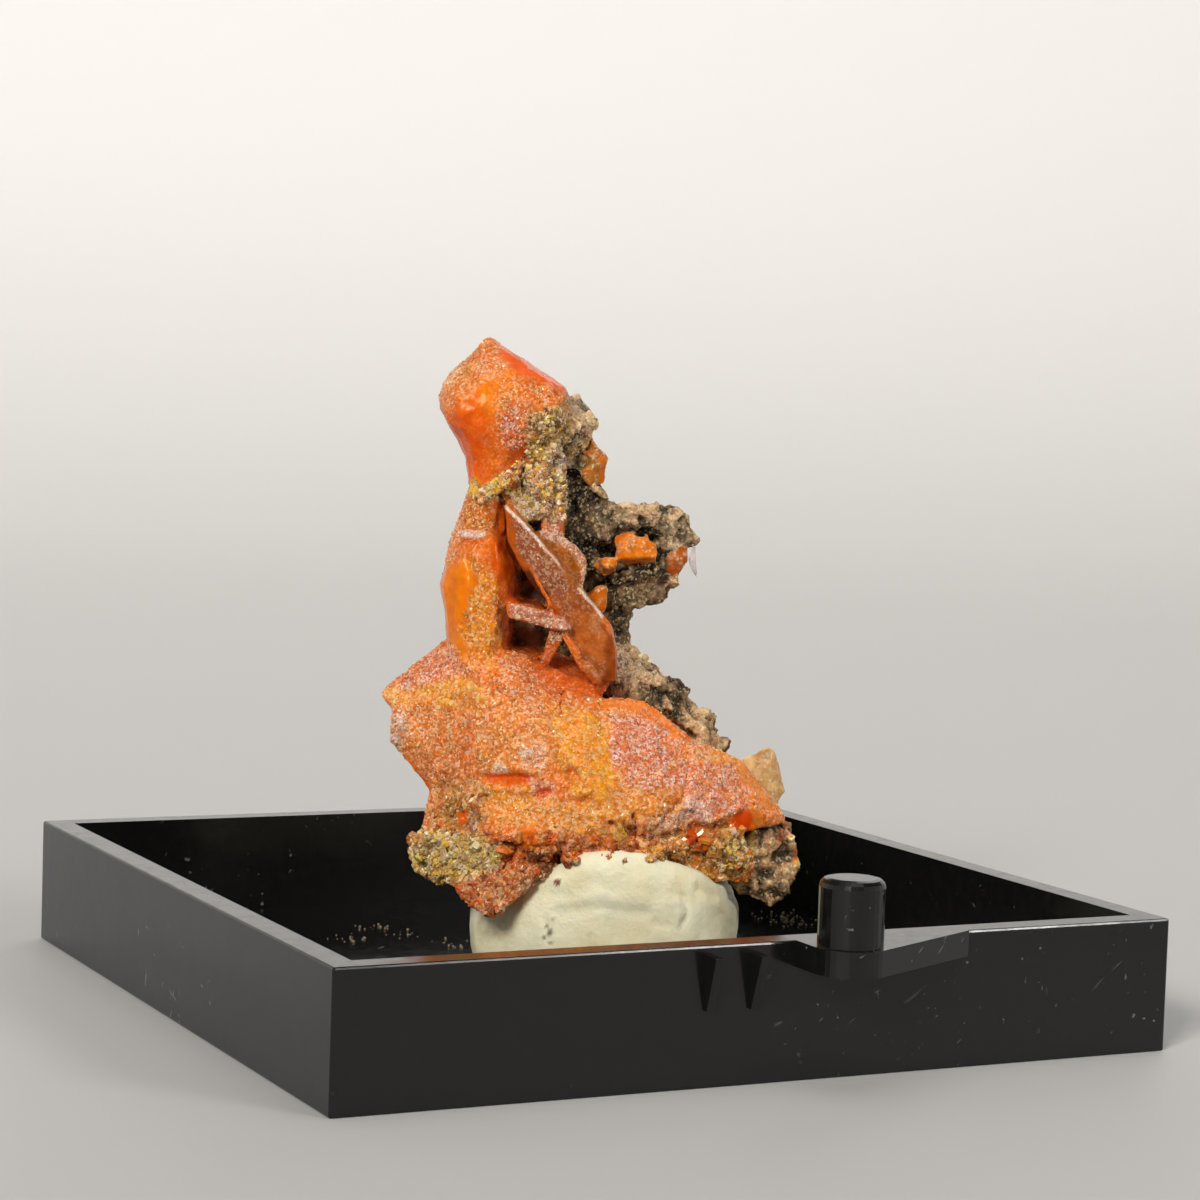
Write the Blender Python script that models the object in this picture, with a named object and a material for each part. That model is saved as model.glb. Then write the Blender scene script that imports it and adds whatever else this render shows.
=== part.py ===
"""Wulfenite on its rock matrix, pressed into putty on the black base of a small square box.

Lengths are millimetres, and MM turns them into Blender's metres. +Z is up. The origin is the
centre of the box's underside. The specimen's own points (x to its right, y to its back, z up)
are written facing its front, and one empty turns them all in the box.
"""

import itertools
import math
import random

import bmesh
import bpy
from mathutils import Euler, Matrix, Vector, noise

MM = 0.001
CLEARANCE = 0.25  # between solids that touch
UNEVENNESS = 0.03  # of a crystal's corners
SPECIMEN_TURN = 26.4  # degrees clockwise, seen from above

# Box base, moulded in one with its tab, pin and gussets
BOX_SIDE = 32.0
BOX_HEIGHT = 4.8
BOX_WALL = 1.0
BOX_FLOOR = 1.0
BOX_EDGE = 0.08
PIN_CENTRE = (1.93, -17.33)
PIN_RADIUS = 1.12
PIN_HEIGHT = 2.3
PIN_ROUNDING = 0.3
TAB_RADIUS = 1.28
TAB_THICKNESS = 0.9
TAB_END_X = 7.5
GUSSET_X = (-2.65, -0.95)
GUSSET_WIDTH = 0.3
GUSSET_REACH = 0.8
GUSSET_TOP = 4.5
GUSSET_FOOT = 2.6

# Putty: height, then its left, right, front and back
PUTTY_RINGS = [
    (1.25, -3.5, 6.0, -4.3, 4.3),
    (1.8, -3.8, 6.3, -4.7, 4.6),
    (2.8, -3.85, 6.38, -4.85, 4.7),
    (3.6, -3.75, 6.35, -4.75, 4.6),
    (4.3, -3.3, 6.1, -4.5, 4.4),
    (4.9, -2.4, 5.5, -4.2, 4.1),
    (5.4, -1.2, 4.3, -3.8, 3.7),
    (5.7, 0.0, 2.8, -3.1, 3.0),
]
PUTTY_SQUARENESS = 2.5
PUTTY_SIDES = 32

# The standing crystal, head and body: height, then its left, right, front and back
FIGURE_RINGS = [
    (11.0, -4.2, -3.0, -2.8, -0.2),
    (12.35, -4.55, -2.9, -3.4, 0.4),
    (12.9, -4.86, -2.6, -3.3, 0.7),
    (13.7, -4.99, -2.47, -3.15, 0.8),
    (14.6, -5.12, -2.4, -3.05, 0.8),
    (15.5, -5.26, -2.25, -2.95, 0.8),
    (16.4, -5.1, -2.28, -2.8, 0.8),
    (17.2, -4.94, -2.5, -2.6, 0.8),
    (17.9, -4.7, -2.75, -2.35, 0.7),
    (18.5, -4.5, -2.85, -2.1, 0.7),
    (19.1, -4.33, -2.95, -1.95, 0.8),
    (19.6, -4.4, -2.75, -1.95, 1.0),
    (20.2, -4.5, -2.2, -2.05, 1.3),
    (20.8, -4.78, -1.6, -2.25, 1.6),
    (21.4, -5.22, -1.0, -2.4, 1.8),
    (22.0, -5.5, -0.65, -2.45, 2.0),
    (22.5, -5.56, -0.6, -2.35, 2.0),
    (23.0, -5.42, -0.85, -2.1, 1.8),
    (23.5, -5.1, -1.65, -1.8, 1.5),
    (23.95, -4.55, -2.4, -1.3, 1.1),
    (24.4, -4.15, -3.2, -0.8, 0.6),
    (24.72, -3.95, -3.6, -0.3, 0.2),
]
BODY_SECTION = [
    (0.0, 0.45), (0.05, 0.22), (0.2, 0.07), (0.45, 0.0), (0.72, 0.04), (0.93, 0.3),
    (1.0, 0.6), (0.93, 0.86), (0.72, 1.0), (0.4, 1.0), (0.12, 0.88), (0.02, 0.68),
]
HEAD_SECTION = [
    (0.0, 0.45), (0.04, 0.22), (0.15, 0.06), (0.34, 0.0), (0.68, 0.02), (0.9, 0.12),
    (1.0, 0.35), (0.99, 0.68), (0.85, 0.88), (0.55, 1.0), (0.22, 0.93), (0.05, 0.75),
]
NECK_RANGE = (18.0, 21.0)

# Crystals of the crust, each the convex form of its corners
CRUST_FORMS = {
    "wing_tip": [
        (-5.0, -1.2, 13.4), (-6.1, -1.5, 12.45), (-7.35, -1.6, 11.4), (-7.2, -1.4, 11.1),
        (-6.85, -2.2, 10.7), (-3.8, -3.5, 11.9), (-3.6, -3.0, 13.0), (-4.0, -3.4, 10.5),
        (-5.0, 0.3, 13.2), (-6.8, -0.4, 11.0), (-3.4, 0.3, 13.0), (-4.0, 0.4, 10.5),
    ],
    "wing_body": [
        (-6.7, -2.1, 10.9), (-6.95, -2.2, 10.5), (-6.95, -1.8, 9.6), (-5.75, -2.0, 8.5),
        (-5.35, -2.2, 7.8), (-3.8, -3.5, 11.0), (-3.8, -3.4, 7.9), (-6.6, -0.3, 10.5),
        (-6.7, -0.3, 9.7), (-5.2, 0.2, 8.0), (-3.5, 0.4, 11.0), (-3.5, 0.4, 8.0),
    ],
    "centre_bulge": [
        (-3.9, -3.2, 12.6), (-2.7, -3.0, 13.1), (-3.6, -3.9, 10.7), (-3.5, -4.3, 9.2),
        (-2.7, -5.0, 9.2), (-0.6, -4.9, 10.0), (-1.2, -4.0, 11.6), (-1.0, -5.0, 9.1),
        (-3.4, 0.4, 12.8), (-3.4, 0.4, 8.8), (-0.6, 0.4, 9.0), (-0.2, 0.4, 12.0),
    ],
    "front_low": [
        (-3.4, -4.0, 8.7), (-0.8, -4.6, 8.8), (0.8, -4.9, 8.6), (1.7, -5.0, 7.3),
        (2.3, -4.5, 6.3), (1.0, -4.5, 5.95), (-0.4, -4.6, 5.95), (-2.0, -4.8, 6.3),
        (-3.6, -4.2, 7.0), (-3.4, 0.2, 8.5), (2.0, 0.2, 7.0), (-3.0, 0.0, 6.4), (1.0, 0.0, 6.3),
    ],
    "yellow_band": [
        (-0.6, -3.5, 11.9), (0.8, -2.8, 11.5), (-0.5, -4.4, 10.0), (1.2, -4.0, 9.5),
        (1.8, -4.3, 8.4), (2.2, -4.6, 7.0), (0.5, -4.8, 8.5), (0.0, 0.4, 11.8),
        (1.5, 0.4, 9.0), (0.5, 0.2, 8.0),
    ],
    "upper_plate": [
        (0.8, -2.8, 11.5), (1.4, -2.4, 11.55), (2.5, -2.1, 11.4), (3.1, -2.0, 11.0),
        (4.0, -1.9, 10.15), (4.6, -2.0, 9.9), (1.7, -4.2, 8.9), (4.3, -3.7, 8.2),
        (2.5, -4.5, 6.9), (1.2, -0.6, 11.4), (2.5, -0.6, 11.2), (4.4, -0.2, 9.8),
        (4.2, 0.4, 7.5), (2.2, 0.4, 7.0),
    ],
    "lower_plate": [
        (4.2, -2.5, 10.0), (5.3, -2.0, 9.75), (6.2, -1.6, 9.3), (7.0, -1.2, 8.35),
        (7.7, -0.9, 7.55), (8.05, -1.0, 6.9), (6.8, -2.2, 7.4), (4.7, -3.5, 7.3),
        (2.8, -4.2, 6.6), (3.9, -3.8, 8.3), (2.5, -4.2, 6.2), (5.8, -2.8, 6.6),
        (4.6, -0.2, 9.6), (6.1, -0.2, 9.1), (7.8, -0.1, 7.2), (6.0, 0.2, 6.6), (3.0, 0.2, 6.3),
    ],
    "base_right": [
        (2.5, -4.0, 6.3), (6.0, -2.8, 6.9), (6.9, -2.3, 5.4), (6.6, -2.2, 4.8),
        (4.4, -3.3, 5.3), (2.6, -3.9, 5.8), (5.4, -2.8, 4.85), (6.4, -1.2, 5.3),
        (6.0, -0.6, 6.7), (4.4, -1.4, 5.6), (2.8, -1.0, 6.1),
    ],
    "base_left": [
        (-5.35, -2.2, 7.9), (-5.45, -2.4, 7.0), (-3.8, -3.6, 7.9), (-3.8, -4.0, 6.7),
        (-2.6, -4.7, 7.0), (-4.5, -3.6, 6.2), (-5.7, -2.5, 6.2), (-5.2, -0.4, 7.8),
        (-5.4, -0.6, 6.4), (-3.5, 0.2, 7.8), (-3.5, 0.0, 6.2),
    ],
    "clump": [
        (-5.4, -2.4, 6.9), (-6.1, -2.7, 5.6), (-5.85, -2.8, 4.95), (-5.0, -3.3, 4.45),
        (-3.7, -4.3, 4.85), (-2.6, -4.8, 5.4), (-2.4, -4.9, 6.3), (-3.4, -4.7, 6.7),
        (-4.9, -3.9, 6.5), (-5.8, -1.2, 5.6), (-4.8, -1.2, 4.8), (-2.5, -1.6, 5.1),
        (-2.5, -1.2, 6.6), (-5.2, -1.0, 6.7),
    ],
    "low_lobe": [
        (-4.45, -4.0, 4.65), (-3.85, -4.9, 4.1), (-3.1, -5.2, 3.7), (-2.7, -5.2, 3.7),
        (-2.3, -5.0, 4.1), (-1.9, -4.7, 4.4), (-1.3, -4.4, 4.9), (-0.4, -4.4, 5.5),
        (-2.6, -4.9, 5.5), (-3.6, -4.8, 5.1), (-3.6, -3.4, 4.5), (-2.6, -3.9, 4.0),
        (-1.2, -3.4, 5.2), (-2.5, -3.0, 5.4), (-0.5, -3.9, 6.1),
    ],
    "skirt_core": [
        (-5.1, -1.7, 7.0), (-5.7, -1.5, 9.6), (-3.6, -2.9, 11.4), (-1.6, -3.6, 10.9),
        (-3.3, -3.9, 9.0), (-0.8, -4.3, 9.3), (0.8, -3.6, 9.8), (1.7, -3.9, 7.6),
        (-2.8, -4.2, 6.3), (2.4, -4.1, 6.5), (4.5, -3.0, 8.0), (6.0, -1.9, 7.4), (5.9, -1.9, 5.6),
        (-5.0, 0.3, 7.0), (-5.2, 0.3, 9.6), (0.0, 0.4, 11.2), (5.8, 0.3, 7.2), (-1.0, 0.3, 6.2),
    ],
    "top_slab": [
        (-2.9, -3.0, 13.2), (0.8, -2.6, 11.9), (-2.2, -2.8, 13.0), (1.2, -1.5, 12.1),
        (-0.7, -1.6, 12.8), (-2.5, 0.2, 13.4), (0.9, 0.2, 12.5), (-2.7, -2.6, 11.5),
        (0.6, -2.0, 11.0), (0.4, 0.2, 11.0),
    ],
}

# Tabular crystals that stand free beside the body, and what grew on the neck
BLADE_FORMS = {
    "great_blade": [
        (-2.75, -2.5, 18.4), (-2.85, -2.5, 18.0), (-2.3, -2.8, 16.7), (-1.3, -2.9, 15.25),
        (-0.6, -3.0, 13.7), (-0.1, -3.0, 12.8), (0.5, -2.9, 12.0), (1.0, -2.6, 12.1),
        (1.3, -2.2, 13.3), (1.0, -2.2, 14.1), (0.4, -2.2, 14.7), (-2.0, -2.3, 17.6),
        (-2.7, -2.0, 18.6), (-1.9, -1.6, 17.7), (-0.7, -1.5, 16.3), (0.5, -1.4, 14.8),
        (1.2, -1.3, 13.9), (1.4, -1.3, 13.1), (1.4, -1.5, 12.1),
    ],
    "rear_blade": [
        (-1.6, -1.3, 17.9), (-1.3, -1.3, 17.65), (-0.8, -1.3, 17.3), (-0.3, -1.2, 16.9),
        (0.1, -1.1, 16.6), (0.1, -1.0, 16.1), (0.0, -1.2, 15.3), (-0.8, -1.6, 15.9),
        (-1.5, -1.6, 17.0), (-1.5, -0.7, 17.8), (-0.2, -0.6, 16.9), (0.1, -0.5, 16.4),
        (-0.1, -0.7, 15.3), (-1.4, -0.9, 16.6),
    ],
    "cross_blade": [
        (-2.6, -2.8, 15.0), (-1.2, -3.0, 14.8), (-0.4, -3.0, 14.3), (-2.5, -2.8, 14.45),
        (-1.3, -3.0, 14.15), (-0.5, -3.0, 14.0), (-2.5, -1.0, 15.15), (-1.2, -1.0, 14.95),
        (-0.4, -1.4, 14.5), (-2.5, -1.0, 14.7), (-0.6, -1.4, 14.2),
    ],
    "prop_blade": [
        (-1.2, -2.3, 14.1), (-0.5, -2.4, 14.2), (-0.95, -2.6, 13.1), (-1.3, -2.7, 12.6),
        (-1.45, -2.6, 13.1), (-1.1, -1.7, 14.1), (-0.6, -1.8, 14.0), (-1.2, -1.8, 12.6),
    ],
    "red_plate": [
        (-1.55, -1.0, 20.6), (-0.8, -0.9, 20.5), (-0.7, -0.9, 18.8), (-0.7, -0.9, 17.4),
        (-1.45, -1.1, 17.4), (-1.6, -1.1, 18.8), (-1.5, 0.3, 20.6), (-0.8, 0.3, 20.4),
        (-0.7, 0.2, 17.4), (-1.5, 0.0, 17.4),
    ],
    "neck_bar": [
        (-4.15, -2.6, 18.85), (-2.75, -2.5, 19.9), (-2.55, -2.4, 19.5), (-3.85, -2.7, 18.6),
        (-4.0, -1.6, 18.8), (-2.7, -1.5, 19.9), (-2.5, -1.5, 19.5), (-3.8, -1.6, 18.6),
    ],
    "neck_bridge": [
        (-3.0, -1.7, 20.2), (-1.9, -1.5, 20.8), (-1.2, -1.3, 20.2), (-1.3, -1.5, 18.4),
        (-2.2, -1.8, 17.9), (-2.9, -2.0, 18.4), (-2.8, 0.0, 20.2), (-1.3, 0.0, 20.6),
        (-1.3, 0.0, 18.0), (-2.8, 0.0, 18.0),
    ],
}

# Rock of the matrix, each the convex form of its corners before it is roughened
ROCK_FORMS = {
    "back": [
        (-4.4, 0.4, 5.2), (-3.4, 3.4, 4.9), (0.0, 4.3, 4.6), (3.8, 3.9, 4.7), (5.6, 2.0, 4.8),
        (-4.9, 0.4, 8.6), (-4.2, 3.0, 9.0), (0.0, 4.1, 9.2), (4.0, 3.5, 9.2), (5.7, 1.6, 9.0),
        (-4.2, 0.2, 12.6), (-2.4, 2.9, 12.9), (0.6, 3.0, 13.0), (1.6, 1.4, 13.0), (2.8, 2.6, 12.2),
        (5.2, 0.2, 6.0), (-3.6, 0.2, 5.0),
    ],
    "underside": [
        (-3.6, -3.0, 5.2), (-1.6, -4.0, 5.6), (1.2, -4.15, 5.75), (3.2, -3.7, 5.7),
        (5.3, -2.5, 5.0), (6.2, -0.8, 4.9), (-3.2, -2.2, 4.6), (1.0, -3.2, 4.6),
        (4.4, -2.2, 4.4), (4.6, 1.2, 4.4), (-2.8, 1.2, 4.4), (-3.6, 0.6, 6.6), (5.6, 0.6, 6.6),
    ],
    "body_back": [
        (-3.3, 0.2, 19.3), (-1.3, 0.2, 19.6), (-3.7, 0.2, 13.0), (0.2, 0.1, 12.8),
        (0.4, 0.6, 16.2), (-0.6, 0.1, 16.4), (-3.0, 2.4, 19.0), (-1.0, 2.7, 19.2),
        (-3.0, 2.8, 13.0), (0.6, 3.0, 13.0), (0.4, 2.8, 16.4),
    ],
    "head_back": [
        (-1.1, 0.5, 22.85), (-0.3, 1.0, 22.8), (0.3, 1.2, 22.1), (0.5, 1.2, 21.7),
        (0.2, 1.2, 20.9), (-0.8, 0.0, 19.9), (-2.0, -0.4, 18.9), (-2.1, -1.2, 20.2),
        (-1.6, -1.5, 21.2), (-0.9, -1.0, 22.0), (-0.2, -0.3, 21.6), (-1.2, 2.6, 22.3),
        (-0.1, 2.5, 21.6), (-0.3, 2.5, 20.2), (-2.2, 2.4, 19.4), (-2.6, 2.4, 21.4),
    ],
    "dark_core": [
        (-0.9, 0.5, 20.4), (0.6, 0.8, 18.8), (1.6, 0.8, 17.4), (1.8, 1.0, 16.5),
        (0.2, 0.7, 16.4), (-0.7, 0.3, 17.0), (-1.5, 0.3, 18.7), (-0.8, 2.6, 20.3),
        (0.7, 2.6, 18.7), (1.8, 2.7, 17.2), (0.3, 2.8, 16.2), (-1.6, 2.6, 17.0),
    ],
    "ledge": [
        (-0.8, 0.0, 20.4), (0.85, 0.3, 18.75), (-0.85, 0.4, 20.15), (0.65, 0.6, 18.55),
        (-0.4, 1.6, 20.7), (0.85, 1.7, 18.8),
    ],
    "side_knob": [
        (0.15, 0.6, 19.7), (0.75, 0.9, 19.5), (0.8, 1.0, 18.9), (0.3, 0.7, 18.7),
        (0.2, 2.0, 20.8), (0.6, 2.2, 20.5), (0.7, 2.2, 19.0), (-0.2, 2.2, 18.8),
    ],
    "arm_upper_in": [
        (0.3, 0.8, 18.8), (1.2, 1.1, 18.5), (2.3, 1.2, 18.6), (2.2, 0.9, 17.8),
        (1.6, 0.8, 17.3), (0.4, 0.8, 17.4), (0.3, 2.8, 18.6), (2.3, 3.0, 18.4), (1.8, 2.8, 17.2),
    ],
    "arm_upper_out": [
        (1.9, 1.1, 18.55), (3.1, 1.3, 18.68), (3.55, 1.3, 18.6), (4.1, 1.4, 17.9),
        (4.5, 1.6, 17.3), (4.15, 1.5, 16.85), (3.5, 1.3, 16.65), (2.9, 1.2, 16.75),
        (2.6, 1.0, 17.2), (2.2, 0.9, 17.7), (2.2, 3.0, 18.3), (3.6, 3.0, 18.3),
        (4.2, 2.8, 17.4), (3.4, 2.8, 16.9),
    ],
    "arm_web": [
        (0.2, 0.9, 17.8), (2.6, 1.4, 17.4), (3.2, 1.6, 16.6), (2.9, 1.4, 16.2),
        (0.2, 0.9, 15.6), (0.2, 2.9, 17.6), (3.0, 2.8, 17.2), (2.8, 2.6, 16.2), (0.2, 2.8, 15.6),
    ],
    "arm_lower": [
        (0.2, 0.8, 15.8), (0.6, 0.5, 15.85), (1.7, 0.5, 15.95), (3.0, 0.8, 16.5),
        (3.25, 0.9, 16.3), (3.45, 1.1, 16.0), (3.62, 1.4, 15.5), (3.4, 1.3, 14.95),
        (3.0, 1.1, 14.75), (2.0, 0.9, 14.7), (0.6, 0.8, 14.4), (0.4, 2.8, 15.8),
        (3.0, 2.8, 16.3), (3.2, 2.6, 15.1), (0.8, 2.6, 14.4),
    ],
    "stem": [
        (0.3, 0.7, 15.2), (2.0, 1.1, 14.9), (1.9, 1.2, 14.0), (1.85, 1.2, 12.8),
        (0.2, 0.5, 12.8), (0.1, 0.5, 14.2), (0.3, 2.8, 15.2), (1.8, 2.6, 14.9),
        (1.7, 2.7, 12.8), (0.2, 2.9, 12.8),
    ],
    "slope_high": [
        (1.1, 0.0, 13.45), (2.3, 1.0, 12.85), (3.0, 1.2, 12.6), (3.4, 1.2, 11.7),
        (1.5, -1.2, 12.0), (1.0, -1.2, 12.3), (3.1, -0.6, 11.3), (0.6, -1.0, 11.4),
        (1.2, 3.0, 13.2), (3.0, 3.2, 12.3), (3.3, 3.2, 11.2), (0.6, 3.0, 11.2),
    ],
    "slope_middle": [
        (1.5, -1.35, 11.8), (2.6, -1.3, 12.0), (3.5, 0.4, 11.85), (4.2, 1.0, 11.3),
        (4.6, 1.2, 10.7), (4.4, -1.1, 10.15), (3.1, -1.5, 11.0), (1.6, -1.3, 11.2),
        (2.0, 3.2, 11.6), (4.2, 3.2, 10.9), (4.4, 3.2, 9.6), (2.0, 3.2, 10.0),
    ],
    "slope_low": [
        (4.3, 0.0, 10.8), (4.95, 1.0, 10.8), (5.3, 1.2, 10.2), (5.45, 1.2, 9.7),
        (4.7, -0.9, 10.3), (4.3, -0.9, 10.0), (5.5, -0.3, 9.6), (4.4, 3.0, 10.4),
        (5.5, 2.6, 9.3), (5.6, 2.4, 7.6), (4.0, 2.6, 8.0), (4.4, 0.4, 8.4),
    ],
    "right_foot": [
        (6.6, -1.7, 6.95), (8.0, -1.0, 6.9), (8.35, -1.0, 6.2), (8.6, -1.0, 5.6),
        (8.45, -1.0, 4.7), (8.35, -1.2, 4.05), (7.5, -1.6, 3.8), (7.0, -1.7, 4.15),
        (6.3, -1.7, 4.25), (6.4, -2.0, 5.6), (7.8, 0.9, 6.9), (8.1, 0.9, 5.2),
        (7.6, 0.9, 4.4), (5.2, 0.9, 4.6), (5.2, 1.2, 6.9),
    ],
    "right_back": [
        (5.2, 0.4, 9.0), (6.3, 1.0, 8.4), (7.0, 1.2, 7.4), (7.7, 0.6, 6.6), (5.0, 0.4, 6.4),
        (5.2, 2.9, 8.6), (6.6, 2.6, 7.6), (7.0, 2.2, 6.2), (4.8, 3.0, 5.4),
    ],
}
ROCK_ROUGHNESS = 0.13
ROUGHNESS = {"ledge": 0.04, "side_knob": 0.08}  # the thin rocks have less
ROCK_GRAIN = 1.1  # noise cells per millimetre
ROCK_SEED = 2.7

# Boulders of the matrix: centre, half sizes
BOULDERS = [
    ((-3.2, 2.2, 7.2), (1.7, 1.8, 2.1)),
    ((0.2, 3.4, 7.4), (2.3, 1.7, 2.4)),
    ((3.6, 2.9, 6.6), (1.9, 1.7, 1.9)),
    ((1.8, 3.0, 10.6), (1.9, 1.4, 1.7)),
    ((-2.4, 2.2, 11.3), (1.7, 1.3, 1.8)),
    ((-1.6, 2.1, 14.9), (1.5, 1.1, 1.6)),
    ((-1.9, 1.9, 18.2), (1.3, 1.1, 1.5)),
    ((-1.6, 1.9, 21.3), (1.2, 1.1, 1.2)),
    ((3.4, 0.4, 11.6), (0.9, 0.9, 0.55)),
    ((2.3, -0.6, 11.95), (0.8, 0.8, 0.4)),
    ((4.9, 0.9, 10.5), (0.45, 0.5, 0.45)),
    ((5.65, 0.9, 9.55), (0.32, 0.4, 0.3)),
    ((7.4, -1.2, 4.6), (0.9, 0.6, 0.75)),
    ((7.5, -1.0, 6.1), (0.75, 0.6, 0.7)),
]

# Crystals that grew apart from the crust, each a node
LONE_CRYSTALS = {
    "tan_crystal_block": (
        "tan_crystal",
        [
            (6.35, 0.6, 9.05), (7.35, 1.1, 9.5), (7.55, 1.2, 9.35), (7.8, 1.4, 8.8),
            (8.05, 1.4, 7.75), (7.8, 1.1, 7.45), (7.7, 0.9, 7.2), (6.6, 0.5, 8.0),
            (6.5, 2.2, 8.8), (7.5, 2.4, 9.1), (7.8, 2.4, 7.9), (6.9, 2.2, 7.6),
        ],
    ),
    "head_side_crystal": (
        "wulfenite",
        [
            (0.1, 0.5, 20.5), (0.5, 0.5, 20.7), (0.85, 0.8, 20.35), (0.72, 0.9, 19.75),
            (0.15, 0.4, 19.6), (0.2, 1.9, 20.7), (0.6, 1.9, 20.6), (0.75, 1.8, 19.9),
            (0.2, 1.5, 19.7),
        ],
    ),
    "arm_plate_crystal": (
        "wulfenite",
        [
            (1.3, 0.3, 16.8), (1.65, 0.2, 17.2), (2.3, 0.2, 17.3), (2.8, 0.3, 17.1),
            (2.9, 0.3, 16.7), (2.0, 0.0, 16.45), (1.4, 0.0, 16.4), (0.75, 0.3, 16.6),
            (1.0, 0.2, 16.25), (1.6, 1.3, 17.1), (2.7, 1.4, 17.0), (1.2, 1.3, 16.5),
        ],
    ),
    "stem_crystal": (
        "wulfenite",
        [
            (0.25, -0.5, 15.75), (0.95, 0.0, 15.65), (1.0, 0.1, 14.85), (0.7, -0.1, 14.45),
            (0.4, -0.5, 14.85), (0.3, 0.8, 15.7), (0.9, 0.9, 15.5), (0.7, 0.9, 14.6),
        ],
    ),
    "arm_tip_crystal": (
        "wulfenite",
        [
            (3.35, 0.9, 16.6), (4.0, 1.1, 16.75), (4.0, 1.2, 16.5), (3.6, 1.2, 15.8),
            (3.35, 1.0, 16.1), (3.4, 2.2, 16.5), (4.0, 2.2, 16.6), (3.6, 2.1, 15.9),
        ],
    ),
    "arm_tip_sliver": (
        "white_crystal",
        [
            (4.05, 1.3, 16.65), (4.3, 1.4, 16.75), (4.42, 1.5, 15.85), (4.36, 1.4, 15.9),
            (4.1, 1.3, 16.3), (4.1, 1.8, 16.6), (4.32, 1.8, 16.6), (4.38, 1.7, 16.0),
        ],
    ),
}

# Small tabular crystals fused along the crust's lower fringe
FRINGE_PATH = [
    (-3.0, -4.85, 6.6), (-1.2, -4.85, 6.2), (1.0, -4.75, 6.1), (2.6, -4.35, 6.0),
    (4.4, -3.5, 5.7), (6.3, -2.6, 5.5),
]
FRINGE_COUNT = 24
FRINGE_SIZE = (0.32, 0.55)
FRINGE_THICKNESS = 0.2

# Grains of olive mineral fused on the clump at the lower left
GRAIN_COUNT = 16
GRAIN_SIZE = (0.22, 0.4)
GRAIN_FIELD = ((-5.9, -2.9), (-4.6, -3.2), (4.9, 6.5))

COLOURS = {
    "black_plastic": ((0.018, 0.018, 0.018), 0.18),
    "putty": ((0.75, 0.66, 0.42), 0.6),
    "wulfenite": ((0.75, 0.19, 0.02), 0.3),
    "matrix": ((0.17, 0.12, 0.08), 0.85),
    "tan_crystal": ((0.55, 0.36, 0.2), 0.35),
    "white_crystal": ((0.6, 0.6, 0.62), 0.2),
}


def clear_scene():
    for obj in list(bpy.data.objects):
        bpy.data.objects.remove(obj, do_unlink=True)


def new_collection(name):
    found = bpy.data.collections.get(name)
    if found is None:
        found = bpy.data.collections.new(name)
        bpy.context.scene.collection.children.link(found)
    return found


def material(name):
    found = bpy.data.materials.get(name) or bpy.data.materials.new(name)
    found.use_nodes = True
    colour, roughness = COLOURS[name]
    shader = found.node_tree.nodes["Principled BSDF"]
    shader.inputs["Base Color"].default_value = (*colour, 1.0)
    shader.inputs["Roughness"].default_value = roughness
    shader.inputs["Metallic"].default_value = 0.0
    return found


def to_object(shape, name, collection):
    """The shape as an object, still in millimetres."""
    bmesh.ops.recalc_face_normals(shape, faces=shape.faces)
    mesh = bpy.data.meshes.new(name)
    shape.to_mesh(mesh)
    shape.free()
    obj = bpy.data.objects.new(name, mesh)
    collection.objects.link(obj)
    return obj


def ordered(shape):
    """The same shape with its points and faces in an order that never varies."""
    bmesh.ops.recalc_face_normals(shape, faces=shape.faces)
    points = sorted(tuple(vert.co) for vert in shape.verts if vert.link_faces)
    index = {point: i for i, point in enumerate(points)}
    faces = []
    for face in shape.faces:
        corners = [index[tuple(vert.co)] for vert in face.verts]
        first = corners.index(min(corners))
        faces.append(corners[first:] + corners[:first])
    shape.free()
    fresh = bmesh.new()
    verts = [fresh.verts.new(point) for point in points]
    for corners in sorted(faces):
        fresh.faces.new([verts[i] for i in corners])
    return fresh


def hull(points, seed, margin=0.0):
    """The convex form of the points, a little uneven, and thicker by the margin on every side."""
    dice = random.Random(seed)
    shape = bmesh.new()
    steps = (-margin, margin) if margin else (0.0,)
    for point in points:
        corner = Vector(value + dice.uniform(-UNEVENNESS, UNEVENNESS) for value in point)
        for step in itertools.product(steps, repeat=3):
            away = Vector(value * dice.uniform(1.0, 1.05) for value in step)
            shape.verts.new(corner + away)
    bmesh.ops.convex_hull(shape, input=shape.verts)
    return ordered(shape)


def roughen(shape, amount, seed):
    """Parts each triangle in four, then moves every point along a noise field."""
    fine = bmesh.new()
    shift = Vector((seed * 7.3, seed * 3.1, seed * 5.7 + ROCK_SEED))
    made = {}

    def point(*corners):
        spot = sum((vert.co for vert in corners), Vector()) / len(corners)
        key = tuple(round(value, 4) for value in spot)
        if key not in made:
            field = spot * ROCK_GRAIN + shift
            drift = Vector(noise.noise(field + Vector((step, 0, 0))) for step in (0, 40, 80))
            moved = spot + amount * drift
            made[key] = fine.verts.new(moved)
        return made[key]

    for face in shape.faces:
        a, b, c = face.verts
        ab, bc, ca = point(a, b), point(b, c), point(c, a)
        a, b, c = point(a), point(b), point(c)
        for corners in ((a, ab, ca), (ab, b, bc), (ca, bc, c), (ab, bc, ca)):
            fine.faces.new(corners)
    shape.free()
    return fine


def boulder(centre, half_sizes, seed, margin=0.0, detail=3):
    """A ball with a broken surface."""
    shape = bmesh.new()
    bmesh.ops.create_icosphere(shape, subdivisions=detail, radius=1.0)
    sizes = Vector(half_sizes) + Vector((margin, margin, margin))
    shift = Vector((seed * 2.9, seed * 4.7, seed * 1.3))
    for vert in shape.verts:
        swell = 1.0 + 0.22 * noise.noise(vert.co * 1.7 + shift)
        vert.co = Vector(centre) + Vector(c * s * swell for c, s in zip(vert.co, sizes))
    return shape


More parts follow.
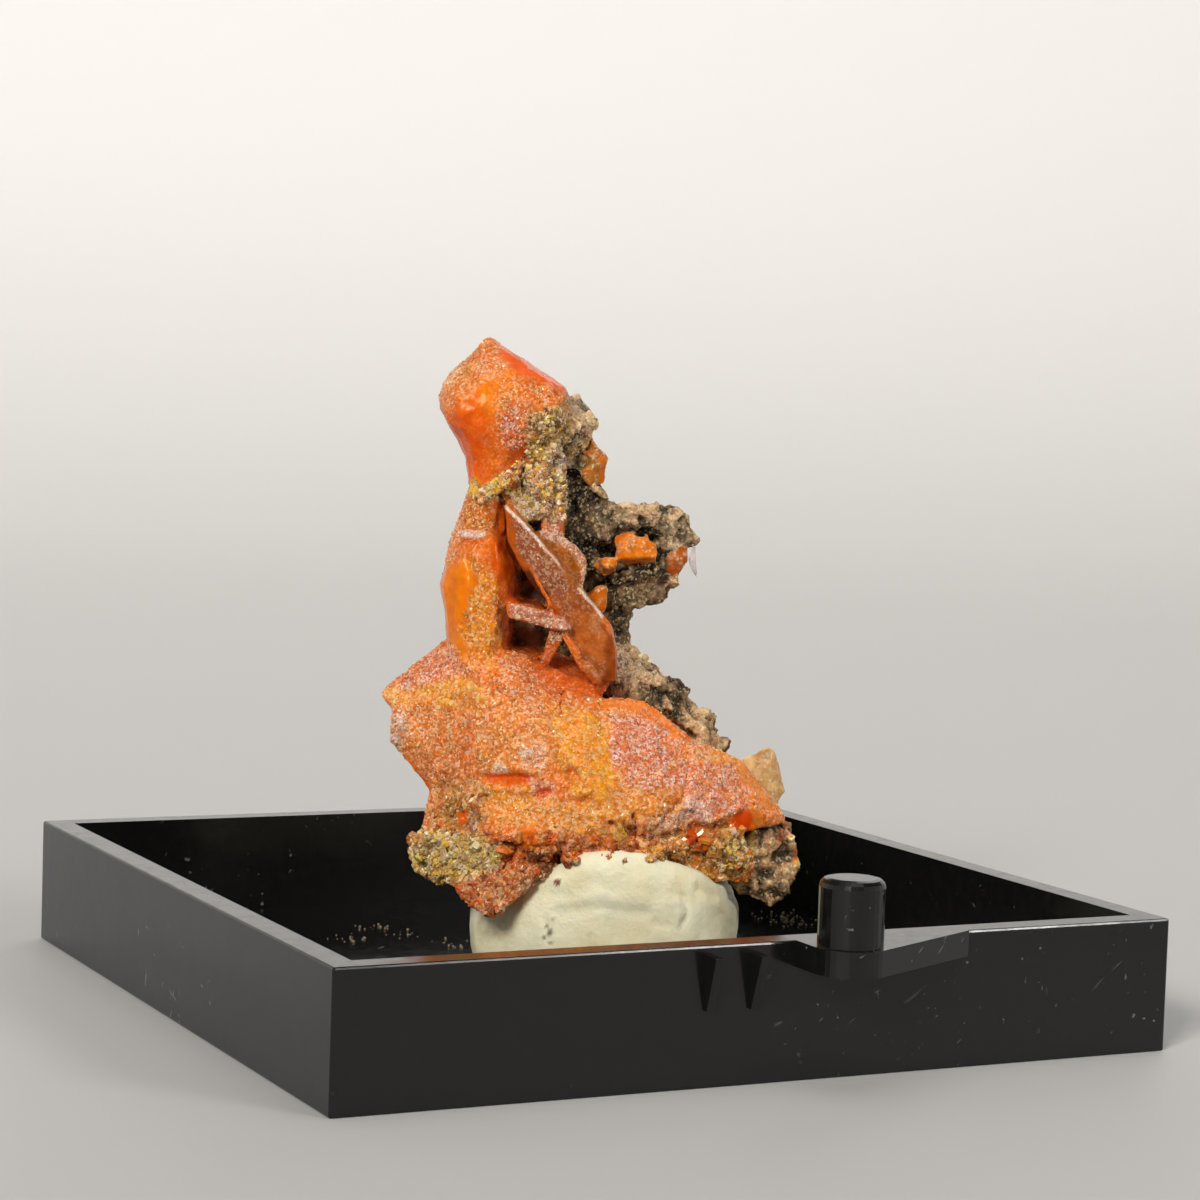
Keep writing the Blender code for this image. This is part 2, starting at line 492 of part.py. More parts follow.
def loft(rings):
    """Closed surface through rings that have the same number of points."""
    shape = bmesh.new()
    rows = [[shape.verts.new(point) for point in ring] for ring in rings]
    count = len(rows[0])
    for low, high in zip(rows, rows[1:]):
        for i in range(count):
            j = (i + 1) % count
            shape.faces.new((low[i], low[j], high[j], high[i]))
    shape.faces.new(rows[0])
    shape.faces.new(rows[-1])
    bmesh.ops.recalc_face_normals(shape, faces=shape.faces)
    return shape


def figure_rings(margin=0.0):
    rings = []
    for height, left, right, front, back in FIGURE_RINGS:
        head = (height - NECK_RANGE[0]) / (NECK_RANGE[1] - NECK_RANGE[0])
        head = min(max(head, 0.0), 1.0)
        width = right - left + 2 * margin
        depth = back - front + 2 * margin
        ring = []
        for (ub, vb), (uh, vh) in zip(BODY_SECTION, HEAD_SECTION):
            u = ub + (uh - ub) * head
            v = vb + (vh - vb) * head
            ring.append((left - margin + u * width, front - margin + v * depth, height))
        rings.append(ring)
    if margin:
        rings[0] = [(x, y, z - margin) for x, y, z in rings[0]]
        rings[-1] = [(x, y, z + margin) for x, y, z in rings[-1]]
    return rings


def oval_ring(left, right, front, back, height):
    """A rounded oblong, seen from above."""
    ring = []
    for i in range(PUTTY_SIDES):
        angle = 2 * math.pi * i / PUTTY_SIDES
        c, s = math.cos(angle), math.sin(angle)
        power = 2 / PUTTY_SQUARENESS
        x = math.copysign(abs(c) ** power, c)
        y = math.copysign(abs(s) ** power, s)
        ring.append((
            (left + right) / 2 + x * (right - left) / 2,
            (front + back) / 2 + y * (back - front) / 2,
            height,
        ))
    return ring


def combine(target, others, operation):
    """Joins the others to the target, or cuts them from it, and removes them."""
    group = bpy.data.collections.new("operands")
    for other in others:
        group.objects.link(other)
    step = target.modifiers.new(operation, "BOOLEAN")
    step.operation = operation
    step.solver = "EXACT"
    step.operand_type = "COLLECTION"
    step.collection = group
    bpy.context.view_layer.update()
    graph = bpy.context.evaluated_depsgraph_get()
    mesh = bpy.data.meshes.new_from_object(target.evaluated_get(graph))
    target.modifiers.clear()
    old = target.data
    target.data = mesh
    bpy.data.meshes.remove(old)
    for other in others:
        bpy.data.objects.remove(other, do_unlink=True)
    bpy.data.collections.remove(group)
    drop_splinters(mesh)
    return target


def drop_splinters(mesh):
    """Keeps the largest connected piece, without the splinters that a cut leaves."""
    shape = bmesh.new()
    shape.from_mesh(mesh)
    pieces = []
    left = set(shape.verts)
    for start in shape.verts:
        if start not in left:
            continue
        left.discard(start)
        piece = [start]
        for vert in piece:
            for edge in vert.link_edges:
                other = edge.other_vert(vert)
                if other in left:
                    left.discard(other)
                    piece.append(other)
        pieces.append(piece)
    pieces.sort(key=len, reverse=True)
    for piece in pieces[1:]:
        bmesh.ops.delete(shape, geom=piece, context="VERTS")
    shape.to_mesh(mesh)
    shape.free()


def along(path, share):
    """The point at that share of the path's length."""
    points = [Vector(p) for p in path]
    lengths = [(b - a).length for a, b in zip(points, points[1:])]
    left = share * sum(lengths)
    for a, b, length in zip(points, points[1:], lengths):
        if left <= length:
            return a.lerp(b, left / length)
        left -= length
    return points[-1]


def tabular_crystal(centre, size, thickness, turn):
    """A square plate with its corners cut off."""
    shape = bmesh.new()
    corner = size * 0.45
    for x, y in ((size, corner), (corner, size), (-corner, size), (-size, corner)):
        for sign in (-1, 1):
            for level in (-thickness / 2, thickness / 2):
                shape.verts.new(centre + turn @ Vector((sign * x, sign * y, level)))
    bmesh.ops.convex_hull(shape, input=shape.verts)
    return ordered(shape)


def fringe_crystals():
    dice = random.Random(11)
    shapes = []
    for i in range(FRINGE_COUNT):
        centre = along(FRINGE_PATH, (i + 0.5) / FRINGE_COUNT)
        centre += Vector((0.0, dice.uniform(0.0, 0.2), dice.uniform(-0.25, 0.75)))
        turn = Euler([dice.uniform(-1.2, 1.2) for _ in range(3)]).to_matrix()
        size = dice.uniform(*FRINGE_SIZE)
        shapes.append(tabular_crystal(centre, size, FRINGE_THICKNESS, turn))
    return shapes


def clump_grains():
    dice = random.Random(5)
    (x0, x1), (y0, y1), (z0, z1) = GRAIN_FIELD
    shapes = []
    for i in range(GRAIN_COUNT):
        share = (i + dice.random()) / GRAIN_COUNT
        centre = (x0 + (x1 - x0) * share, y1 + (y0 - y1) * share, dice.uniform(z0, z1))
        size = dice.uniform(*GRAIN_SIZE)
        shapes.append(boulder(centre, (size, size, size * 0.8), 40 + i, detail=1))
    return shapes


def box_base(parts, cutters):
    tray = bmesh.new()
    bmesh.ops.create_cube(tray, size=1.0)
    bmesh.ops.scale(tray, vec=(BOX_SIDE, BOX_SIDE, BOX_HEIGHT), verts=tray.verts)
    bmesh.ops.translate(tray, vec=(0, 0, BOX_HEIGHT / 2), verts=tray.verts)
    bmesh.ops.bevel(tray, geom=tray.edges[:], offset=BOX_EDGE, segments=2, profile=0.5,
                    affect="EDGES")
    tray = to_object(tray, "box_base", parts)

    pieces = [to_object(shape, "box_detail", parts) for shape in (tab(), *gussets(), pin())]
    combine(tray, pieces, "UNION")

    cavity = bmesh.new()
    bmesh.ops.create_cube(cavity, size=1.0)
    inside = BOX_SIDE - 2 * BOX_WALL
    bmesh.ops.scale(cavity, vec=(inside, inside, BOX_HEIGHT), verts=cavity.verts)
    bmesh.ops.translate(cavity, vec=(0, 0, BOX_FLOOR + BOX_HEIGHT / 2), verts=cavity.verts)
    cavity = to_object(cavity, "box_cavity", cutters)
    cavity.data.transform(Matrix.Scale(MM, 4))
    cavity.hide_render = True
    cavity.display_type = "WIRE"
    cut = tray.modifiers.new("cavity", "BOOLEAN")
    cut.operation = "DIFFERENCE"
    cut.solver = "EXACT"
    cut.object = cavity
    return tray


def tab():
    """The flat tab at the rim: round about the pin, then straight back to the wall."""
    wall = -BOX_SIDE / 2
    centre = Vector(PIN_CENTRE)
    outline = [(TAB_END_X, wall + BOX_WALL / 2), (TAB_END_X, wall)]
    away = Vector((TAB_END_X, wall)) - centre
    tangent = math.atan2(away.y, away.x) - math.acos(TAB_RADIUS / away.length)
    for i in range(13):
        angle = tangent + (math.pi - (2 * math.pi + tangent)) * i / 12
        outline.append((
            centre.x + TAB_RADIUS * math.cos(angle),
            centre.y + TAB_RADIUS * math.sin(angle),
        ))
    outline.append((centre.x - TAB_RADIUS, wall + BOX_WALL / 2))
    shape = bmesh.new()
    low, high = (
        [shape.verts.new((x, y, z)) for x, y in outline]
        for z in (BOX_HEIGHT - TAB_THICKNESS, BOX_HEIGHT)
    )
    shape.faces.new(low)
    shape.faces.new(high)
    for i in range(len(outline)):
        j = (i + 1) % len(outline)
        shape.faces.new((low[i], low[j], high[j], high[i]))
    return shape


def pin():
    """The upright pin on the tab, its top edge rounded."""
    foot = BOX_HEIGHT - TAB_THICKNESS / 2
    top = BOX_HEIGHT + PIN_HEIGHT
    shape = bmesh.new()
    bmesh.ops.create_cone(
        shape, cap_ends=True, segments=32, radius1=PIN_RADIUS, radius2=PIN_RADIUS,
        depth=top - foot,
    )
    bmesh.ops.translate(shape, vec=(*PIN_CENTRE, (top + foot) / 2), verts=shape.verts)
    rim = [e for e in shape.edges if all(v.co.z > top - 0.01 for v in e.verts)]
    bmesh.ops.bevel(shape, geom=rim, offset=PIN_ROUNDING, segments=3, profile=0.5, affect="EDGES")
    return shape


def gussets():
    """Two thin webs on the front wall, left from a second tab."""
    wall = -BOX_SIDE / 2
    shapes = []
    for x in GUSSET_X:
        points = []
        for side in (-GUSSET_WIDTH / 2, GUSSET_WIDTH / 2):
            points += [
                (x + side, wall + 0.3, GUSSET_TOP),
                (x + side, wall - GUSSET_REACH, GUSSET_TOP),
                (x + side, wall - 0.15, GUSSET_FOOT),
                (x + side, wall + 0.3, GUSSET_FOOT),
            ]
        shapes.append(hull(points, x))
    return shapes


def crust_cutters(cutters):
    """The crust, body and lone crystals with room around them."""
    shapes = crystal_hulls(CLEARANCE)
    shapes += [hull(points, name, CLEARANCE) for name, (_, points) in LONE_CRYSTALS.items()]
    shapes.append(loft(figure_rings(CLEARANCE)))
    return [to_object(shape, "room", cutters) for shape in shapes]


def crystal_hulls(margin=0.0):
    forms = {**CRUST_FORMS, **BLADE_FORMS}
    return [hull(points, name, margin) for name, points in forms.items()]


def wulfenite_crust(parts):
    body = to_object(loft(figure_rings()), "wulfenite_crust", parts)
    shapes = crystal_hulls() + fringe_crystals() + clump_grains()
    return combine(body, [to_object(s, "crystal", parts) for s in shapes], "UNION")


def matrix_rock(parts, cutters):
    shapes = [
        roughen(hull(points, name), ROUGHNESS.get(name, ROCK_ROUGHNESS), seed)
        for seed, (name, points) in enumerate(ROCK_FORMS.items())
    ]
    shapes += [
        boulder(centre, sizes, seed, detail=2)
        for seed, (centre, sizes) in enumerate(BOULDERS)
    ]
    rocks = [to_object(shape, "matrix_rock", parts) for shape in shapes]
    rock = combine(rocks[0], rocks[1:], "UNION")
    return combine(rock, crust_cutters(cutters), "DIFFERENCE")


def putty(parts, cutters):
    rings = [oval_ring(*sides, height) for height, *sides in PUTTY_RINGS]
    blob = to_object(loft(rings), "putty", parts)
    room = crust_cutters(cutters)
    room += [
        to_object(hull(ROCK_FORMS[name], name, CLEARANCE + ROCK_ROUGHNESS), "room", cutters)
        for name in ("back", "underside", "right_foot")
    ]
    room += [
        to_object(boulder(centre, sizes, seed, CLEARANCE, 2), "room", cutters)
        for seed, (centre, sizes) in enumerate(BOULDERS)
        if centre[2] - sizes[2] < PUTTY_RINGS[-1][0] + 1.0
    ]
    return combine(blob, room, "DIFFERENCE")


def finish(obj, material_name, smooth_angle):
    """Brings the piece to metres and gives it its material and shading."""
    obj.data.transform(Matrix.Scale(MM, 4))
    obj.data.materials.clear()
    obj.data.materials.append(material(material_name))
    obj.data.shade_smooth()
    obj.data.set_sharp_from_angle(angle=math.radians(smooth_angle))


def main():
    clear_scene()
    parts = new_collection("wulfenite")
    cutters = new_collection("cutters")

    turned = bpy.data.objects.new("specimen_turn", None)
    turned.rotation_euler = (0.0, 0.0, -math.radians(SPECIMEN_TURN))
    parts.objects.link(turned)

    finish(box_base(parts, cutters), "black_plastic", 30)
    crust = wulfenite_crust(parts)
    rock = matrix_rock(parts, cutters)
    blob = putty(parts, cutters)
    finish(crust, "wulfenite", 35)
    finish(rock, "matrix", 25)
    finish(blob, "putty", 40)
    specimen = [crust, rock, blob]
    for name, (material_name, points) in LONE_CRYSTALS.items():
        crystal = to_object(hull(points, name), name, parts)
        finish(crystal, material_name, 20)
        specimen.append(crystal)
    for obj in specimen:
        obj.parent = turned


main()
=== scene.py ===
"""Looks of the wulfenite specimen, its putty and its box base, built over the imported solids.

Lengths are millimetres in the specimen's own frame (x to its right, y to its back, z up) until a
piece is finished, which turns it into the row frame and into metres.
"""

import math
from functools import cache

import bmesh
import bpy
import numpy as np
from mathutils import Matrix, Vector
from mathutils.bvhtree import BVHTree


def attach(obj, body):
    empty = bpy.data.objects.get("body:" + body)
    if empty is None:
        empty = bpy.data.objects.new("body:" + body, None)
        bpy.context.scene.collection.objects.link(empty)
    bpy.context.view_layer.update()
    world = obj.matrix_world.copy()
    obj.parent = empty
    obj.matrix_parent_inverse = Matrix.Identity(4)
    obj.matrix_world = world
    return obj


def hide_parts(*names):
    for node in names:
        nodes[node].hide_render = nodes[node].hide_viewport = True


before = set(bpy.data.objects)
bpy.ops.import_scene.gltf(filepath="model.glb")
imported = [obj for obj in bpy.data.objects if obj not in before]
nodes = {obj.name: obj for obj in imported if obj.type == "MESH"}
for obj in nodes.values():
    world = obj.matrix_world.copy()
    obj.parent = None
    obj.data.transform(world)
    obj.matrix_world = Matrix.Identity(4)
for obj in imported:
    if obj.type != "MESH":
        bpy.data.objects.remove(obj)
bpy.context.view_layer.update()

MM = 0.001
TRAY_FLOOR = 1.0
TURN = math.radians(26.4)

# Camera, in the row frame
CAMERA_MM = (-51.40, -104.99, 23.50)
YAW, PITCH, ROLL = math.radians(26.44), math.radians(4.16), math.radians(1.91)
LENS, SENSOR = 93.0, 36.0
PICTURE = 1200


def camera_axes():
    ahead = Vector((
        math.sin(YAW) * math.cos(PITCH), math.cos(YAW) * math.cos(PITCH), -math.sin(PITCH),
    ))
    level = Vector((math.cos(YAW), -math.sin(YAW), 0.0))
    top = level.cross(ahead)
    right = math.cos(ROLL) * level + math.sin(ROLL) * top
    up = -math.sin(ROLL) * level + math.cos(ROLL) * top
    return right, up, ahead


def turned(points, angle):
    c, s = math.cos(angle), math.sin(angle)
    x, y, z = points.T
    return np.stack([x * c + y * s, -x * s + y * c, z], axis=1)


def row_from_specimen(points):
    return turned(points, TURN)


def specimen_from_row(points):
    return turned(points, -TURN)


def drawing_place(points):
    """Where points of the specimen lie on the front drawing that the zones are laid out on."""
    right, up, ahead = (np.array(axis) for axis in camera_axes())
    away = row_from_specimen(points) - np.array(CAMERA_MM)
    depth = away @ ahead
    scale = LENS / SENSOR * PICTURE / depth
    return np.stack([PICTURE / 2 + away @ right * scale, PICTURE / 2 - away @ up * scale], 1)


def front_direction():
    """The direction the front drawing is seen along, in the specimen's frame."""
    ahead = np.array(camera_axes()[2])[None, :]
    return specimen_from_row(ahead)[0]


# Noise

TABLE_SIZE = 256
NOISE_GAIN, OCTAVE_SHIFT = 1.6, 11.3
JITTER_SEED, FACET_SEED = 900, 77
FACET_TILT, FACET_LEVEL = 0.55, 0.3
FAR = 1e9


def unit(rows):
    return rows / np.linalg.norm(rows, axis=1)[:, None]


@cache
def hash_table(seed):
    """A shuffled table of 256 numbers, twice over, and a direction for each number."""
    dice = np.random.default_rng(seed)
    order = dice.permutation(TABLE_SIZE)
    slopes = dice.normal(size=(TABLE_SIZE, 3))
    return np.concatenate([order, order]), unit(slopes)


def cell_number(cell, seed):
    """A number that looks random for each cell of a grid."""
    order = hash_table(seed)[0]
    x, y, z = (cell & (TABLE_SIZE - 1)).T
    return order[order[order[x] + y] + z]


def noise(points, seed=0):
    """Gradient noise of about -1 to 1, one cell a unit."""
    slopes = hash_table(seed)[1]
    cell = np.floor(points).astype(int)
    inside = points - cell
    fade = inside ** 3 * (inside * (inside * 6 - 15) + 10)
    total = np.zeros(len(points))
    for corner in np.ndindex(2, 2, 2):
        rise = ((inside - corner) * slopes[cell_number(cell + corner, seed)]).sum(1)
        weight = np.where(corner, fade, 1 - fade).prod(1)
        total += weight * rise
    return total * NOISE_GAIN


def rough_noise(points, size, octaves=4, seed=0, gain=0.5):
    total = np.zeros(len(points))
    strength = 1.0
    for octave in range(octaves):
        shifted = points / size * 2 ** octave + OCTAVE_SHIFT * octave
        total += strength * noise(shifted, seed + octave)
        strength *= gain
    return total


def cells(points, size, seed=0):
    """The nearest of scattered cell centres: the offset from it, and its number."""
    jitter = np.random.default_rng(seed + JITTER_SEED).random((TABLE_SIZE, 3))
    spot = points / size
    cell = np.floor(spot).astype(int)
    best = np.full(len(points), FAR)
    offset = np.zeros_like(points)
    number = np.zeros(len(points), int)
    for step in np.ndindex(3, 3, 3):
        near = cell + np.array(step) - 1
        key = cell_number(near, seed)
        away = spot - near - jitter[key]
        distance = (away ** 2).sum(1)
        closer = distance < best
        best = np.where(closer, distance, best)
        offset[closer] = away[closer]
        number[closer] = key[closer]
    return offset * size, number


def facets(points, size, seed=0):
    """Relief of small tilted faces, about -1 to 1 of the cell's size."""
    offset, number = cells(points, size, seed)
    dice = np.random.default_rng(seed + FACET_SEED)
    tilt = dice.normal(size=(TABLE_SIZE, 3)) * FACET_TILT
    level = dice.uniform(-FACET_LEVEL, FACET_LEVEL, TABLE_SIZE)
    return (offset * tilt[number]).sum(1) / size + level[number]


def smoothstep(low, high, value):
    share = np.clip((value - low) / (high - low), 0, 1)
    return share * share * (3 - 2 * share)


# Meshes as arrays

# What a strong colour loses of its red, green and blue
STRONG_LOSS = (0.02, 0.04, 0.55)
# How much of a spot is frosted with fine crystals, grown over with grains, or bare rock
MARKS = ("frost", "grain", "rock")


def read(items, field, width, kind=float):
    values = np.zeros(len(items) * width, kind)
    items.foreach_get(field, values)
    return values.reshape(-1, width)


def triangles(mesh):
    mesh.calc_loop_triangles()
    return read(mesh.loop_triangles, "vertices", 3, int)


def arrays(obj):
    """A CAD node's corners in the specimen's frame, and its triangles."""
    points = specimen_from_row(read(obj.data.vertices, "co", 3) / MM)
    _, first, index = np.unique(np.round(points, 4), axis=0, return_index=True, return_inverse=True)
    tris = index.reshape(-1)[triangles(obj.data)]
    a, b, c = tris.T
    return points[first], tris[(a != b) & (b != c) & (a != c)]


def taken(shape):
    """A working mesh as arrays. The working mesh is freed."""
    points = np.array([vert.co for vert in shape.verts])
    faces = np.array([[vert.index for vert in face.verts] for face in shape.faces])
    shape.free()
    return points, faces


def joined(solids):
    """Several meshes as one."""
    starts = np.cumsum([0] + [len(points) for points, _ in solids[:-1]])
    faces = [rows + start for (_, rows), start in zip(solids, starts)]
    return np.vstack([points for points, _ in solids]), np.vstack(faces)


def ball(radius, rounds):
    shape = bmesh.new()
    bmesh.ops.create_icosphere(shape, subdivisions=rounds, radius=radius)
    return taken(shape)


def to_mesh(name, points, faces):
    mesh = bpy.data.meshes.new(name)
    mesh.from_pydata(np.asarray(points).tolist(), [], np.asarray(faces).tolist())
    mesh.update()
    return mesh


def new_object(name, mesh):
    obj = bpy.data.objects.new(name, mesh)
    bpy.context.scene.collection.objects.link(obj)
    return obj


def half(points, faces, height, above):
    """The part of a closed mesh above or below a height, closed again."""
    shape = bmesh.new()
    mesh = to_mesh("half", points, faces)
    shape.from_mesh(mesh)
    bpy.data.meshes.remove(mesh)
    bmesh.ops.bisect_plane(
        shape, geom=shape.verts[:] + shape.edges[:] + shape.faces[:],
        plane_co=(0, 0, height), plane_no=(0, 0, 1), clear_inner=above, clear_outer=not above,
    )
    bmesh.ops.holes_fill(shape, edges=[e for e in shape.edges if e.is_boundary], sides=0)
    bmesh.ops.triangulate(shape, faces=shape.faces[:])
    return taken(shape)


def remeshed(name, points, faces, voxel):
    """The outer surface again, in small even squares."""
    obj = new_object(name, to_mesh(name, points, faces))
    step = obj.modifiers.new("remesh", "REMESH")
    step.mode = "VOXEL"
    step.voxel_size = voxel
    graph = bpy.context.evaluated_depsgraph_get()
    mesh = bpy.data.meshes.new_from_object(obj.evaluated_get(graph))
    obj.modifiers.clear()
    old = obj.data
    obj.data = mesh
    bpy.data.meshes.remove(old)
    mesh.name = name
    return obj


class Surface:
    """A dense mesh whose points are pushed about."""

    def __init__(self, obj):
        self.obj = obj
        self.mesh = obj.data
        self.points = read(self.mesh.vertices, "co", 3)
        self.edges = read(self.mesh.edges, "vertices", 2, int)
        self.degree = np.bincount(self.edges.ravel(), minlength=len(self.points))
        self.update()

    def update(self):
        self.mesh.vertices.foreach_set("co", self.points.ravel())
        self.mesh.update()
        self.normals = read(self.mesh.vertex_normals, "vector", 3)
        self.place = drawing_place(self.points)
        self.facing = -(self.normals @ front_direction())

    def mean_of_neighbours(self, values):
        a, b = self.edges.T
        columns = [
            np.bincount(a, values[b, k], len(values)) + np.bincount(b, values[a, k], len(values))
            for k in range(values.shape[1])
        ]
        return np.stack(columns, 1) / np.maximum(self.degree, 1)[:, None]

    def smooth(self, rounds, share=0.5, weight=None):
        for _ in range(rounds):
            step = (self.mean_of_neighbours(self.points) - self.points) * share
            if weight is not None:
                step *= weight[:, None]
            self.points += step
        self.update()

    def push(self, amount):
        self.points += self.normals * amount[:, None]
        self.update()

    def reach(self, tree, near=0.32, far=0.5, into=0.1):
        """Moves points that are close to another surface to it and a little into it."""
        for i, point in enumerate(self.points):
            spot, _, _, distance = tree.find_nearest(Vector(point), far)
            if spot is None or distance < 1e-6:
                continue
            share = 1.0 - smoothstep(near, far, distance)
            away = (np.array(spot) - point) / distance
            self.points[i] = point + away * (distance + into) * share
        self.update()


def tree_of(points, faces):
    return BVHTree.FromPolygons([Vector(p) for p in points], [list(map(int, f)) for f in faces])


def finish_piece(obj, node, material, smooth=True):
    """Turns a piece into the row frame and metres, and hangs it on the body."""
    mesh = obj.data
    points = row_from_specimen(read(mesh.vertices, "co", 3)) * MM
    mesh.vertices.foreach_set("co", points.ravel())
    mesh.update()
    mesh.materials.clear()
    mesh.materials.append(material)
    mesh.polygons.foreach_set("use_smooth", [smooth] * len(mesh.polygons))
    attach(obj, "root")
    if node:
        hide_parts(node)


def vivid(tint):
    """A strong colour with less blue, which the pale surroundings add again."""
    most, least = tint.max(1), tint.min(1)
    strong = ((most - least) / np.maximum(most, 0.001)) ** 3
    return np.clip(tint * (1 - strong[:, None] * STRONG_LOSS), 0, 1)


def colour_in(mesh, tint):
    field = mesh.attributes.new("tint", "FLOAT_COLOR", "POINT")
    four = np.ones((len(tint), 4), np.float32)
    four[:, :3] = tint
    field.data.foreach_set("color", four.ravel())


def mark(mesh, tint, marks):
    """Stores the colour and the marks that the materials read."""
    colour_in(mesh, vivid(tint))
    for name, values in zip(MARKS, np.clip(marks, 0, 1).T):
        field = mesh.attributes.new(name, "FLOAT", "POINT")
        field.data.foreach_set("value", values.astype(np.float32))


# Zones on the front drawing, in the drawing's own units

def linear(colour):
    share = np.array(colour, float) / 255
    return np.where(share <= 0.04045, share / 12.92, ((share + 0.055) / 1.055) ** 2.4)


def side_distance(place, a, b):
    """Distance to the straight line from a to b."""
    side = b - a
    away = place - a
    share = np.clip((away @ side) / (side @ side), 0, 1)
    return np.hypot(*(away - share[:, None] * side).T)


def from_line(place, line):
    """Distance to an open line."""
    line = np.array(line, float)
    return np.min([side_distance(place, a, b) for a, b in zip(line, line[1:])], axis=0)


def outside_polygon(place, corners):
    """Signed distance to a closed outline, negative inside."""
    corners = np.array([*corners, corners[0]], float)
    x, y = place.T
    inside = np.zeros(len(place), bool)
    for a, b in zip(corners, corners[1:]):
        crosses = (a[1] > y) != (b[1] > y)
        with np.errstate(divide="ignore", invalid="ignore"):
            inside ^= crosses & (x < a[0] + (y - a[1]) / (b[1] - a[1]) * (b - a)[0])
    distance = from_line(place, corners)
    return np.where(inside, -distance, distance)


def outside_oval(place, oval):
    x, y, wide, high = oval
    return (np.hypot((place[:, 0] - x) / wide, (place[:, 1] - y) / high) - 1) * min(wide, high)


